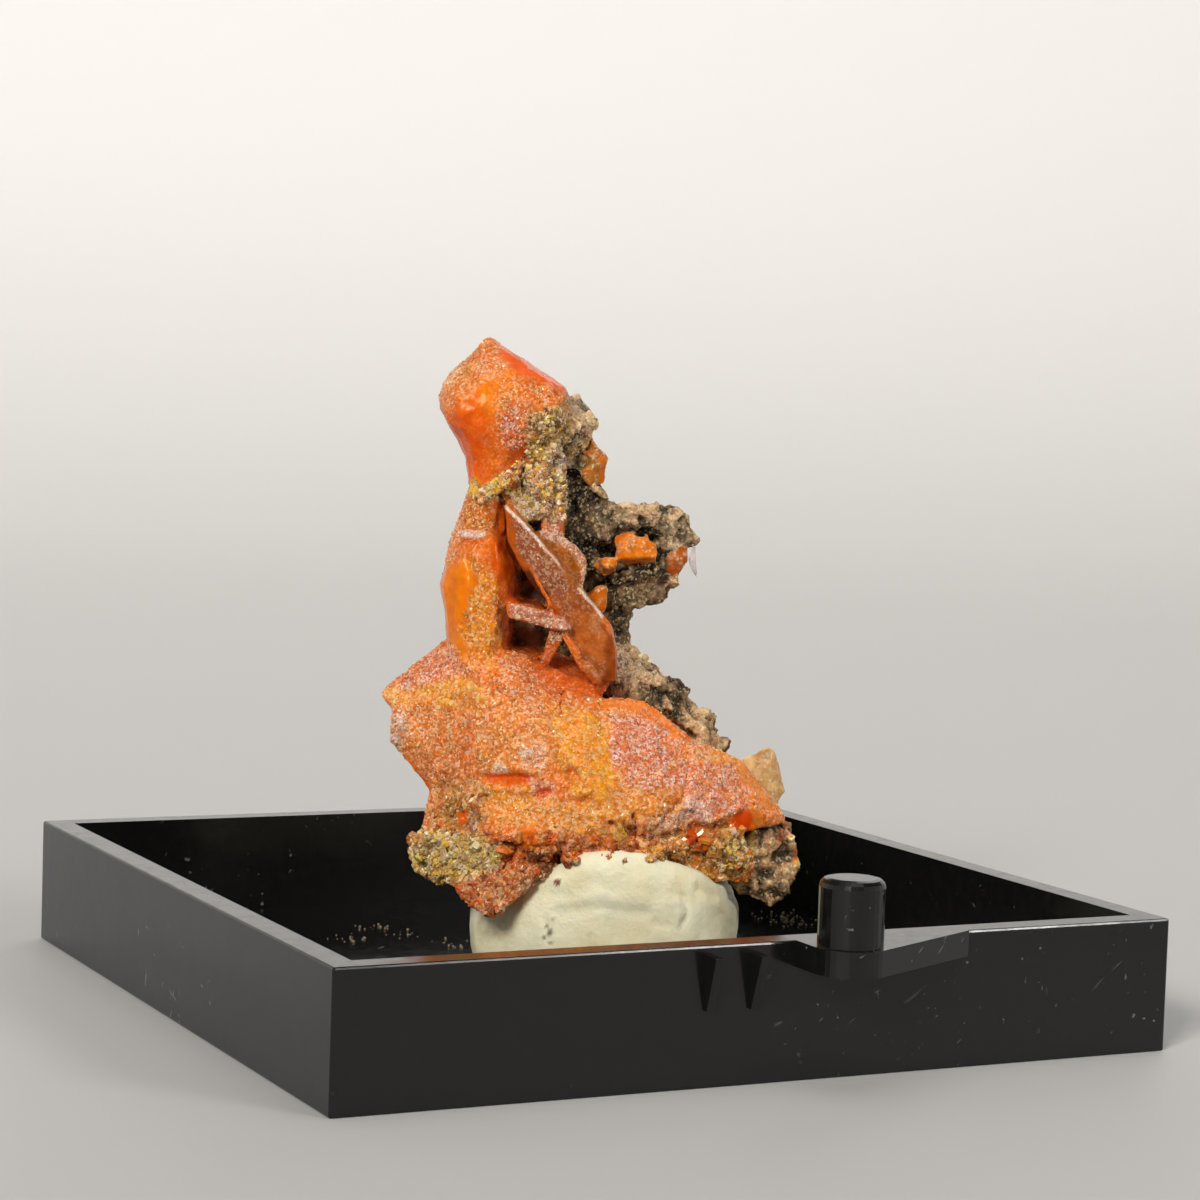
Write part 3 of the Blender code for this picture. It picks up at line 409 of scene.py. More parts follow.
# Each zone: form, softness, strength, the two colours that noise mixes, frost, grain, rock. A form
# is an oval's middle and half sizes, or the corners of an outline
ZONES = [
    # head
    ((480, 392, 36, 26), 14, 0.9, (243, 140, 12), (236, 118, 8), 0.05, 0, 0),
    ((466, 440, 22, 46), 12, 0.9, (226, 78, 4), (232, 92, 6), 0, 0, 0),
    ([(436, 400), (442, 372), (462, 360), (478, 336), (500, 345), (512, 362), (500, 378), (478, 384),
     (462, 402), (446, 410)], 7, 0.75, (232, 150, 112), (226, 104, 40), 0.75, 0, 0),
    ((452, 374, 12, 12), 6, 0.8, (240, 196, 168), (228, 150, 112), 0.9, 0, 0),
    ((467, 373, 5, 6), 3, 0.8, (176, 112, 62), (196, 120, 60), 0.3, 0, 0),
    ([(500, 345), (530, 362), (566, 386), (560, 392), (530, 378), (505, 362)], 5, 0.9, (226, 80, 8),
     (232, 92, 10), 0, 0, 0),
    ([(498, 380), (535, 380), (572, 396), (572, 420), (545, 432), (522, 420), (500, 446), (492, 420)], 8,
     0.7, (226, 120, 40), (222, 96, 24), 0.7, 0.3, 0),
    ((514, 428, 19, 20), 9, 0.95, (206, 84, 84), (222, 70, 40), 1, 0.2, 0),
    # mimetite crust right of the head and below it
    ([(530, 412), (556, 404), (574, 420), (592, 440), (600, 470), (600, 500), (574, 515), (546, 520),
     (524, 508), (522, 470), (530, 448), (524, 430)], 8, 0.95, (160, 126, 58), (128, 96, 62), 0.35, 1,
     0.35),
    ((538, 448, 12, 12), 6, 0.8, (206, 168, 40), (176, 136, 40), 0.1, 1, 0),
    ((566, 440, 14, 14), 7, 0.7, (170, 140, 60), (120, 90, 84), 0.5, 1, 0.3),
    ((556, 470, 12, 22), 7, 0.7, (120, 90, 96), (150, 112, 70), 0.5, 1, 0.3),
    ((578, 404, 12, 14), 5, 0.95, (168, 142, 116), (140, 122, 108), 0.1, 0.4, 0.9),
    ((592, 428, 9, 14), 5, 0.8, (170, 104, 56), (132, 100, 92), 0.6, 0.8, 0.4),
    ([(588, 450), (600, 448), (609, 458), (606, 478), (596, 482), (589, 470)], 3, 0.95, (206, 104, 24),
     (186, 110, 56), 0.15, 0.3, 0),
    ([(478, 494), (505, 470), (512, 478), (488, 502)], 3, 0.95, (212, 184, 96), (176, 132, 60), 0.25, 1,
     0.1),
    ((474, 487, 6, 11), 3, 0.95, (238, 200, 70), (226, 160, 40), 0.1, 0.8, 0),
    ([(505, 470), (521, 462), (524, 486), (514, 500), (504, 502), (498, 494)], 4, 0.8, (190, 84, 22),
     (206, 112, 40), 0.1, 0.6, 0),
    # painted shade: dark down the deep crease right of the head
    ((525, 473, 3.5, 13), 3, 0.9, (70, 28, 12), (96, 44, 20), 0, 0.2, 0.3),
    ([(513, 500), (530, 492), (545, 503), (546, 520), (536, 528), (522, 516)], 5, 0.95, (208, 188, 134),
     (150, 122, 72), 0.3, 1, 0.3),
    ([(546, 498), (562, 494), (564, 540), (548, 532), (541, 516)], 4, 0.95, (156, 58, 44), (196, 98, 84),
     0.9, 0.4, 0),
    ([(570, 393), (590, 396), (593, 414), (574, 418)], 2.5, 0.9, (176, 156, 132), (150, 130, 108), 0.1,
     0.3, 0.7),
    ([(572, 417), (596, 416), (600, 436), (580, 444), (570, 432)], 4, 0.85, (170, 128, 96),
     (206, 150, 118), 0.9, 0.5, 0.2),
    ([(554, 446), (567, 448), (567, 472), (553, 470)], 3, 0.8, (128, 112, 118), (160, 140, 138), 0.9, 0.5,
     0.3),
    # painted shade: dark in the recess right of the column
    ([(566, 472), (572, 464), (600, 498), (598, 512), (568, 508)], 3, 0.95, (48, 38, 30), (76, 62, 50),
     0.1, 0.4, 1),
    ([(508, 450), (526, 446), (530, 462), (512, 466)], 3, 0.8, (206, 80, 10), (190, 70, 14), 0, 0.1, 0),
    ([(526, 464), (542, 466), (543, 486), (532, 488)], 2.5, 0.85, (190, 108, 86), (214, 150, 120), 0.8,
     0.3, 0),
    ((530, 488, 5, 5), 2, 0.9, (112, 102, 96), (90, 80, 74), 0.1, 0.5, 0.5),
    ((553, 423, 7, 3), 2, 0.9, (70, 46, 24), (96, 66, 34), 0, 0.4, 0.3),
    ([(510, 494), (530, 492), (544, 502), (543, 520), (528, 516), (515, 508)], 2.5, 0.85, (214, 188, 162),
     (180, 140, 110), 1, 0.6, 0.1),
    # painted shade: dark at the foot of the same crease
    ((521, 482, 4, 8), 2, 0.95, (44, 22, 12), (70, 36, 18), 0, 0.2, 0.3),
    # standing body
    ([(472, 490), (460, 492), (444, 545), (439, 580), (444, 610), (455, 578), (462, 542), (474, 506)], 6,
     0.9, (224, 130, 96), (230, 150, 118), 0.7, 0.1, 0),
    ([(464, 500), (484, 502), (496, 508), (490, 532), (462, 532), (460, 516)], 5, 0.85, (216, 124, 28),
     (206, 96, 20), 0.25, 0.8, 0),
    ([(443, 566), (468, 560), (475, 590), (464, 626), (468, 656), (457, 672), (448, 650), (440, 610)], 5,
     0.95, (233, 116, 8), (238, 132, 14), 0, 0, 0),
    ([(468, 556), (492, 572), (506, 600), (504, 645), (488, 668), (468, 658), (463, 626), (476, 592)], 7,
     0.95, (230, 150, 24), (216, 116, 18), 0.25, 0.7, 0),
    ([(500, 506), (510, 530), (523, 562), (522, 592), (512, 642), (502, 654), (505, 600), (494, 560),
     (490, 532)], 7, 0.95, (208, 72, 2), (222, 90, 4), 0, 0, 0),
    # painted highlight: the white glint bar across the body's top
    ([(458, 531), (472, 530), (486, 532), (484, 537), (470, 538), (458, 534)], 1.2, 1, (255, 214, 204),
     (250, 200, 190), 0.9, 0, 0),
    # plates beside the body
    ([(504, 504), (520, 518), (597, 606), (614, 645), (616, 684), (590, 680), (560, 628), (528, 582),
     (505, 545)], 3, 1, (176, 96, 62), (160, 80, 44), 0.22, 0, 0),
    ([(514, 518), (530, 534), (552, 562), (572, 586), (560, 600), (540, 578), (524, 562), (514, 545)], 4,
     0.85, (172, 100, 82), (150, 80, 58), 0.42, 0, 0),
    ([(572, 612), (596, 616), (606, 640), (606, 664), (590, 660), (574, 636)], 7, 0.8, (214, 116, 50),
     (190, 92, 34), 0.02, 0, 0),
    ([(604, 630), (614, 645), (617, 684), (600, 686), (606, 660)], 4, 0.9, (160, 72, 24), (140, 58, 14), 0,
     0, 0),
    ([(588, 614), (597, 612), (603, 630), (598, 640), (590, 630)], 2, 0.7, (206, 128, 92), (190, 110, 70),
     0.2, 0, 0),
    ([(503, 508), (511, 512), (516, 546), (534, 576), (556, 606), (566, 632), (556, 622), (528, 584),
     (506, 550)], 3, 0.95, (196, 88, 12), (178, 76, 10), 0.02, 0, 0),
    ([(572, 650), (584, 668), (606, 686), (590, 686), (568, 662)], 4, 0.9, (140, 52, 8), (118, 40, 6), 0,
     0, 0),
    # painted highlight: the bright glint along the blade's ridge
    ([(505, 505), (530, 528.5), (556, 557.5), (577, 582.5), (604, 616), (602, 618), (575, 585), (554, 560),
     (528, 531), (504, 508)], 1, 1, (255, 232, 222), (240, 200, 184), 0.7, 0, 0),
    ([(510, 504), (533, 525), (560, 554), (580, 577), (602, 611), (597, 608), (577, 582), (556, 557),
     (530, 529)], 1, 0.9, (156, 110, 64), (124, 80, 44), 0.1, 0.1, 0),
    ([(536, 528), (554, 532), (565, 538), (578, 547), (587, 558), (587, 572), (582, 588), (574, 588),
     (556, 560), (540, 542)], 2.5, 1, (176, 92, 28), (146, 78, 32), 0.1, 0.1, 0),
    ([(540, 528), (554, 531), (566, 537), (579, 546), (588, 557), (588, 572), (584, 588), (579, 586),
     (581, 568), (578, 558), (566, 548), (552, 540), (540, 536)], 2, 0.9, (216, 164, 144), (190, 120, 100),
     0.9, 0.1, 0),
    # painted shade: the dark hollows under the blades
    ([(516, 570), (530, 570), (548, 592), (546, 602), (522, 602)], 4, 0.95, (64, 18, 5), (84, 28, 8), 0, 0,
     0.1),
    ([(512, 621), (546, 629), (542, 652), (528, 652), (510, 648)], 4, 0.95, (54, 14, 4), (76, 24, 8), 0, 0,
     0.1),
    ([(516, 597), (545, 604), (556, 611), (545, 610), (518, 604)], 2, 0.9, (130, 44, 10), (110, 40, 12), 0,
     0, 0),
    ([(508, 604), (530, 607), (550, 612), (566, 620), (572, 629), (566, 632), (550, 629), (530, 623),
     (510, 617)], 2, 1, (194, 116, 98), (210, 144, 124), 0.75, 0, 0),
    ([(550, 632), (568, 631), (562, 642), (549, 664), (544, 667), (540, 662), (545, 648)], 2, 1,
     (176, 98, 72), (158, 84, 56), 0.45, 0, 0),
    ([(520, 650), (560, 642), (592, 672), (610, 690), (590, 700), (560, 690), (536, 676)], 7, 0.9,
     (180, 60, 8), (210, 90, 16), 0.1, 0, 0),
    # skirt, left wing
    ([(380, 690), (400, 676), (446, 640), (470, 664), (484, 690), (474, 770), (440, 800), (424, 780),
     (396, 754), (388, 742), (391, 712)], 5, 0.8, (226, 124, 76), (228, 112, 52), 0.75, 0.2, 0),
    ([(398, 678), (446, 640), (462, 668), (452, 680), (420, 682), (396, 690)], 6, 0.9, (206, 92, 84),
     (222, 130, 110), 1, 0, 0),
    ([(384, 688), (400, 674), (446, 638), (432, 656), (404, 680), (388, 690)], 3, 0.6, (206, 92, 66),
     (206, 92, 66), 0.8, 0, 0),
    ([(380, 690), (396, 686), (398, 706), (388, 702)], 3, 0.9, (240, 184, 116), (232, 160, 90), 0.6, 0.2,
     0),
    ([(398, 694), (424, 684), (452, 678), (474, 682), (490, 696), (482, 716), (452, 708), (420, 706),
     (402, 706)], 8, 0.85, (236, 164, 40), (230, 132, 36), 0.45, 0.6, 0),
    ([(388, 708), (404, 708), (408, 722), (402, 748), (388, 742)], 5, 0.9, (244, 190, 166),
     (228, 132, 106), 1, 0.1, 0),
    ((449, 744, 6, 7), 4, 0.7, (176, 116, 30), (196, 110, 30), 0.2, 0.6, 0),
    ([(458, 736), (472, 726), (473, 756), (462, 760), (454, 750)], 5, 0.6, (226, 104, 40), (214, 96, 40),
     0.6, 0, 0),
    ([(400, 752), (412, 756), (432, 786), (430, 800), (424, 784)], 3, 0.8, (226, 108, 30), (218, 96, 28),
     0.2, 0, 0),
    # skirt, centre
    ([(474, 706), (500, 690), (545, 700), (560, 730), (556, 768), (500, 772), (474, 768)], 6, 0.85,
     (226, 122, 60), (226, 136, 60), 0.7, 0.3, 0),
    ([(484, 684), (505, 672), (530, 686), (556, 706), (540, 716), (510, 704)], 7, 0.7, (216, 118, 76),
     (206, 92, 70), 0.9, 0.2, 0),
    ([(500, 648), (528, 660), (548, 682), (584, 700), (600, 716), (560, 712), (530, 690), (504, 668)], 7,
     0.7, (206, 100, 70), (196, 84, 60), 0.8, 0.1, 0),
    ((535, 757, 17, 14), 8, 0.85, (240, 184, 166), (222, 120, 90), 1, 0, 0),
    # painted highlight: a white glint on the skirt's centre bulge
    ((499, 767, 6, 5), 3, 0.9, (250, 226, 206), (244, 200, 170), 1, 0, 0),
    ([(484, 774), (506, 771), (534, 774), (533, 783), (506, 785), (488, 783)], 3, 0.9, (222, 104, 14),
     (206, 56, 18), 0.05, 0, 0),
    ([(486, 784), (530, 786), (540, 800), (520, 812), (492, 804)], 6, 0.7, (230, 146, 40), (226, 128, 40),
     0.4, 0.3, 0),
    ([(530, 774), (552, 782), (556, 800), (540, 804), (530, 794)], 4, 0.8, (214, 104, 92), (226, 150, 140),
     1, 0, 0),
    ((545, 793, 6, 5), 2.5, 0.95, (206, 52, 16), (196, 44, 14), 0, 0, 0),
    ((579, 801, 7, 4), 2.5, 0.95, (190, 42, 20), (200, 60, 26), 0.1, 0, 0),
    ([(540, 796), (590, 800), (606, 830), (560, 836), (510, 830), (520, 812)], 8, 0.7, (222, 116, 66),
     (230, 144, 84), 0.7, 0.2, 0),
    # skirt, yellow band down the middle
    ([(544, 700), (562, 704), (590, 716), (614, 720), (616, 800), (600, 818), (572, 800), (560, 760),
     (552, 724)], 9, 0.9, (230, 156, 30), (226, 134, 30), 0.3, 0.6, 0),
    ((604, 776, 13, 26), 9, 0.7, (234, 160, 14), (228, 140, 12), 0.1, 0.4, 0),
    # skirt, right plates
    ([(600, 706), (643, 702), (684, 736), (720, 752), (745, 764), (700, 800), (640, 836), (616, 800),
     (610, 740)], 6, 0.8, (222, 118, 66), (224, 128, 60), 0.8, 0.1, 0),
    ([(612, 716), (640, 712), (664, 724), (688, 745), (688, 786), (660, 790), (630, 786), (614, 760)], 7,
     0.95, (202, 84, 76), (220, 122, 110), 1, 0, 0),
    ([(598, 704), (620, 700), (646, 702), (684, 736), (678, 740), (644, 709), (618, 708), (600, 711)], 3,
     0.85, (222, 110, 44), (226, 122, 50), 0.1, 0, 0),
    ([(686, 738), (716, 744), (718, 758), (690, 760)], 4, 0.7, (226, 150, 124), (222, 130, 90), 0.9, 0.1,
     0),
    ([(708, 752), (736, 752), (742, 770), (716, 768)], 5, 0.7, (228, 150, 60), (224, 132, 60), 0.4, 0.2, 0),
    ([(684, 764), (724, 764), (752, 790), (748, 812), (708, 822), (684, 800)], 7, 0.95, (206, 90, 78),
     (224, 132, 118), 1, 0, 0),
    ([(680, 794), (694, 792), (714, 812), (706, 822), (686, 816)], 4, 0.85, (238, 186, 176),
     (226, 150, 140), 1, 0, 0),
    ([(614, 790), (684, 790), (684, 826), (640, 838), (610, 820)], 7, 0.75, (224, 132, 44), (222, 120, 50),
     0.55, 0.3, 0),
    ([(646, 818), (686, 806), (692, 828), (668, 842), (642, 846)], 5, 0.85, (226, 176, 152),
     (206, 130, 100), 1, 0.2, 0),
    ([(736, 756), (750, 768), (778, 804), (770, 810), (746, 782), (732, 764)], 4, 0.85, (222, 134, 66),
     (224, 126, 56), 0.25, 0, 0),
    ((748, 824, 18, 13), 5, 0.9, (222, 116, 24), (224, 130, 40), 0.1, 0.1, 0),
    ((743, 822, 12, 13), 4, 0.95, (224, 74, 8), (216, 64, 8), 0, 0, 0),
    # lower right fringe
    ([(640, 842), (690, 826), (730, 826), (756, 836), (752, 872), (720, 886), (680, 876), (642, 866)], 5,
     0.9, (176, 92, 36), (206, 146, 60), 0.3, 0.9, 0.15),
    ([(686, 830), (706, 832), (712, 850), (698, 852), (686, 842)], 3, 0.9, (176, 48, 10), (190, 66, 14), 0,
     0, 0),
    ((733, 850, 20, 17), 7, 0.8, (216, 172, 60), (160, 126, 70), 0.4, 1, 0.1),
    ((623, 834, 9, 13), 4, 0.85, (232, 178, 44), (214, 140, 40), 0.2, 0.6, 0),
    ((661, 868, 16, 7), 5, 0.8, (186, 76, 18), (170, 60, 16), 0.1, 0.3, 0),
    # lower left, mimetite and its pocket
    ([(432, 782), (470, 776), (492, 786), (492, 812), (478, 836), (432, 832), (426, 812)], 5, 0.85,
     (206, 130, 70), (196, 110, 56), 0.5, 0.6, 0.1),
    ([(440, 806), (452, 796), (470, 796), (468, 824), (448, 832)], 4, 0.9, (140, 98, 34), (170, 104, 34),
     0.1, 0.7, 0.2),
    ((462, 816, 5, 8), 2.5, 0.95, (222, 92, 16), (206, 76, 14), 0, 0, 0),
    ((473, 822, 5, 14), 3, 0.9, (108, 92, 92), (90, 76, 72), 0.2, 0.5, 0.6),
    ((483, 794, 7, 8), 3, 0.85, (218, 176, 126), (196, 150, 90), 0.4, 0.8, 0.1),
    ([(408, 852), (424, 830), (470, 832), (500, 842), (500, 866), (470, 884), (440, 886), (414, 872)], 4,
     1, (216, 174, 104), (178, 140, 78), 0.45, 1, 0.3),
    ((430, 862, 14, 12), 6, 0.7, (206, 170, 70), (150, 116, 56), 0.2, 1, 0.2),
    ((480, 854, 18, 10), 6, 0.7, (222, 196, 150), (170, 130, 80), 0.6, 1, 0.2),
    ([(440, 884), (500, 868), (530, 876), (516, 900), (500, 916), (485, 918), (462, 900)], 5, 0.95,
     (190, 92, 40), (170, 66, 30), 0.5, 0.4, 0.1),
    ((488, 905, 16, 9), 5, 0.7, (206, 90, 50), (220, 140, 110), 0.8, 0.2, 0),
    # lower edge, centre
    ([(500, 838), (520, 828), (560, 834), (606, 838), (640, 846), (636, 866), (600, 862), (560, 872),
     (520, 886), (498, 874)], 6, 0.9, (204, 84, 26), (190, 74, 34), 0.5, 0.4, 0.05),
    ([(478, 790), (560, 798), (640, 806), (664, 828), (600, 836), (520, 824), (482, 818)], 8, 0.75,
     (232, 156, 56), (224, 124, 40), 0.5, 0.5, 0),
    ((528, 840, 11, 14), 3, 0.9, (232, 116, 16), (206, 80, 8), 0.1, 0, 0),
    # painted highlight: a bright patch over the glint above the fissure
    ((499, 771, 9, 3.5), 2, 0.9, (255, 226, 206), (240, 180, 150), 1, 0, 0),
    ([(520, 880), (556, 864), (600, 855), (640, 858), (660, 864), (640, 872), (600, 866), (560, 880),
     (520, 896)], 4, 0.85, (120, 70, 48), (96, 58, 42), 0.5, 0.8, 0.5),
]

# The same for the rock alone
ROCK_ZONES = [
    # arm: its top painted pale where lit, and painted shade in its recesses
    ([(594, 500), (640, 498), (690, 500), (706, 540), (690, 562), (650, 545), (620, 552), (596, 530)], 6,
     0.95, (190, 166, 136), (140, 116, 90), 0.1, 0.4, 1),
    # painted shade: the dark recess between the head and the arm
    ([(560, 450), (604, 470), (606, 500), (636, 545), (600, 566), (572, 552), (560, 520)], 8, 0.97,
     (26, 21, 17), (52, 42, 32), 0.1, 0.5, 1),
    # painted shade: dark in a pushed recess
    ([(626, 524), (650, 522), (655, 544), (632, 548)], 4, 0.9, (40, 30, 22), (60, 46, 34), 0, 0.3, 1),
    ([(588, 556), (680, 556), (680, 600), (640, 610), (600, 606)], 6, 0.95, (74, 60, 46), (120, 98, 74),
     0.1, 0.6, 1),
    ([(650, 578), (678, 574), (674, 600), (652, 606)], 5, 0.8, (160, 132, 104), (130, 106, 82), 0.1, 0.4,
     1),
    ([(604, 604), (630, 606), (629, 648), (608, 646)], 4, 0.95, (104, 86, 66), (80, 64, 48), 0.1, 0.5, 1),
    ([(566, 456), (572, 456), (607, 498), (602, 502)], 2.5, 0.9, (166, 148, 116), (140, 122, 92), 0, 0.2,
     1),
    # slope and right foot
    ([(588, 640), (640, 646), (662, 660), (664, 682), (630, 690), (592, 704)], 5, 0.95, (232, 192, 160),
     (196, 144, 108), 0.95, 0.8, 0.6),
    ([(584, 686), (600, 678), (624, 684), (620, 702), (594, 704)], 4, 0.8, (190, 172, 164),
     (150, 124, 112), 1, 0.7, 0.6),
    ([(618, 684), (664, 676), (694, 700), (700, 724), (680, 734), (648, 706), (620, 702)], 6, 0.95,
     (156, 132, 104), (132, 108, 86), 0, 0.4, 1),
    ([(682, 706), (716, 708), (732, 744), (716, 758), (684, 736)], 5, 0.95, (186, 152, 116),
     (158, 128, 98), 0.1, 0.5, 1),
    ([(752, 820), (786, 812), (806, 850), (804, 880), (790, 912), (756, 908), (720, 888), (752, 868)], 5,
     0.95, (168, 134, 102), (132, 106, 82), 0.1, 0.6, 1),
    ([(776, 800), (786, 812), (798, 840), (790, 846), (778, 826)], 4, 0.8, (176, 112, 80), (156, 100, 72),
     0.4, 0.4, 0.7),
    ((782, 836, 5, 8), 2.5, 0.95, (214, 96, 30), (196, 84, 30), 0.1, 0.1, 0),
    ((798, 856, 6, 8), 2.5, 0.95, (220, 124, 60), (206, 96, 40), 0.2, 0.1, 0),
]

# Creases, pits and ridges: line, half width, height along the surface's own direction
STROKES = [
    ([(470, 560), (475, 590), (463, 625)], 3, -0.1),
    ([(452, 668), (448, 650), (446, 640)], 3, -0.05),
    ([(503, 508), (502, 532)], 2.5, 0.1),
    ([(461, 540), (486, 539)], 2, -0.1),
    ([(458, 530), (486, 531)], 1.8, 0.05),
    ([(525, 460), (525, 486)], 3, -0.3),
    ([(552, 424), (556, 419), (561, 424)], 2.2, 0.1),
    ([(555, 428), (560, 428)], 3, -0.16),
    ([(467, 372), (469, 375)], 4, -0.14),
    ([(507, 506), (550, 558), (593, 612)], 2, 0.07),
    ([(472, 702), (473, 740), (474, 768)], 2.4, -0.14),
    ([(477, 706), (478, 766)], 4, 0.06),
    ([(484, 778), (508, 777), (533, 779)], 3, -0.16),
    ([(486, 771), (510, 768), (533, 771)], 3.6, 0.04),
    ([(490, 789), (528, 790)], 4.5, 0.12),
    ([(541, 793), (549, 794)], 4, -0.26),
    ([(574, 801), (584, 802)], 3.4, -0.26),
    ([(500, 680), (552, 740), (600, 790), (640, 830)], 7, 0.12),
    ([(545, 702), (560, 714)], 2.6, -0.12),
    ([(484, 712), (500, 706)], 2.2, -0.08),
    ([(688, 745), (690, 770), (684, 800), (664, 820)], 3, -0.16),
    ([(684, 800), (708, 822), (740, 808)], 3, 0.12),
    ([(646, 826), (690, 806)], 3.2, 0.1),
    ([(640, 846), (692, 828), (730, 826)], 3.4, -0.24),
    ([(612, 824), (634, 848)], 2.4, -0.2),
    ([(622, 820), (642, 842)], 2.2, -0.14),
    ([(462, 816), (463, 819)], 6, -0.22),
    ([(444, 812), (456, 804)], 5, -0.18),
    ([(473, 810), (474, 834)], 3.6, -0.22),
    ([(430, 832), (500, 838)], 3.6, -0.14),
    ([(500, 840), (520, 832), (560, 836)], 3, 0.1),
    ([(504, 866), (520, 846)], 3, -0.2),
    ([(540, 858), (600, 850), (640, 856)], 3.6, -0.16),
    ([(521, 849), (529, 857), (537, 850), (531, 842)], 2.4, 0.14),
    ([(597, 706), (620, 702), (644, 704), (682, 736)], 3.2, 0.08),
    ([(520, 606), (571, 628)], 2.4, 0.04),
    ([(600, 530), (640, 548), (690, 556)], 3.4, -0.14),
    ([(628, 530), (650, 540)], 6, -0.24),
    ([(592, 560), (614, 556)], 3.6, -0.24),
    ([(612, 534), (640, 530), (662, 536)], 2.6, -0.3),
    ([(598, 494), (620, 505), (651, 508), (676, 505)], 3, 0.08),
    ([(604, 504), (618, 516), (640, 520), (664, 520)], 2.6, -0.16),
    ([(587, 578), (626, 570), (643, 562), (662, 558)], 2.4, 0.14),
    ([(586, 585), (626, 578), (650, 572)], 2.4, -0.14),
    ([(570, 530), (590, 552)], 4, -0.2),
    ([(568, 457), (606, 500)], 2.2, 0.1),
    ([(630, 684), (664, 700), (690, 726)], 3.2, -0.1),
]


def zone_distance(place, shape):
    return outside_oval(place, shape) if np.ndim(shape) == 1 else outside_polygon(place, shape)


def blotches(points, size, gain, octaves=4, seed=0, middle=0.5):
    """A share of 0 to 1 that wanders over a surface."""
    return np.clip(middle + gain * rough_noise(points, size, octaves, seed=seed), 0, 1)


def wandering(points, size, octaves, seeds):
    """Noise for both directions of the drawing."""
    return np.stack([rough_noise(points, size, octaves, seed=seed) for seed in seeds], 1)


# How far a zone's edge wanders at most, and the softness from which a zone is patchy
MOST_DRIFT, PATCHY_FROM = 6.5, 5


def paint(surface, zones, base, base_marks, everywhere):
    """Colour, frost, grain and rock at each point: the base, then the zones where they reach."""
    points, place = surface.points, surface.place
    drift = wandering(points, 0.9, 4, (31, 41))
    blend = blotches(points, 0.4, 0.85, seed=51)[:, None]
    patchy = blotches(points, 0.5, 0.9, seed=55, middle=0.7)
    tint = base.copy()
    marks = np.tile(np.array(base_marks, float), (len(points), 1))
    seen = smoothstep(-0.35, 0.0, surface.facing) if everywhere else (
        smoothstep(-0.15, 0.2, surface.facing)
    )
    for shape, soft, strength, first, second, frost, grain, rock in zones:
        spot = place + drift * min(MOST_DRIFT, soft * 0.9)
        near = 1 - smoothstep(-soft * 0.8, soft * 0.8, zone_distance(spot, shape))
        if soft > PATCHY_FROM:
            near *= 0.35 + 0.65 * patchy
        share = (near * strength * seen)[:, None]
        colour = linear(first) * blend + linear(second) * (1 - blend)
        tint = tint * (1 - share) + colour * share
        marks = marks * (1 - share) + np.array((frost, grain, rock)) * share
    return tint, marks


def strokes(surface):
    """Creases, pits and ridges, pushed into the side that faces the front."""
    spot = surface.place + wandering(surface.points, 0.5, 2, (61, 71)) * 1.2
    front = smoothstep(0.0, 0.35, surface.facing)
    total = np.zeros(len(surface.points))
    for line, wide, height in STROKES:
        distance = from_line(spot, line)
        total += height * np.exp(-(distance / wide) ** 2)
    surface.push(total * front)


def mixed(first, second, share):
    """Two colours, or rows of colours, mixed by a share for each row."""
    return np.array(first) * (1 - share[:, None]) + np.array(second) * share[:, None]


# Forms laid out on the front drawing

def plane_point(spot, anchor, normal):
    """The point on a plane that lies at a spot on the front drawing."""
    right, up, ahead = (np.array(axis) for axis in camera_axes())
    step = SENSOR / LENS / PICTURE
    away = ahead + right * (spot[0] - PICTURE / 2) * step - up * (spot[1] - PICTURE / 2) * step
    start = specimen_from_row(np.array([CAMERA_MM]))[0]
    away = specimen_from_row(away[None, :])[0]
    share = np.dot(np.array(anchor) - start, normal) / np.dot(away, normal)
    return start + away * share


def slab(outline, anchor, normal, thickness, edge):
    """A tabular crystal: its outline on the drawing, laid on a plane, with bevelled edges."""
    normal = np.array(normal) / np.linalg.norm(normal)
    front = [plane_point(spot, anchor, normal) for spot in outline]
    shape = bmesh.new()
    face = shape.faces.new([shape.verts.new(point) for point in front])
    face.normal_update()
    if face.normal.dot(Vector(normal)) < 0:
        face.normal_flip()
    made = bmesh.ops.extrude_face_region(shape, geom=[face])
    back = [item for item in made["geom"] if isinstance(item, bmesh.types.BMVert)]
    bmesh.ops.translate(shape, verts=back, vec=Vector(-normal * thickness))
    bmesh.ops.recalc_face_normals(shape, faces=shape.faces[:])
    bmesh.ops.bevel(shape, geom=shape.edges[:], offset=edge, segments=2, affect="EDGES")
    bmesh.ops.triangulate(shape, faces=shape.faces[:])
    return taken(shape)


def with_lumps(solid, lumps):
    """A mesh with closed balls added, at places on the drawing and a depth."""
    solids = [solid]
    for spot, depth, radius in lumps:
        points, faces = ball(radius, 2)
        solids.append((points + plane_point(spot, (0, depth, 0), (0, 1, 0)), faces))
    return joined(solids)


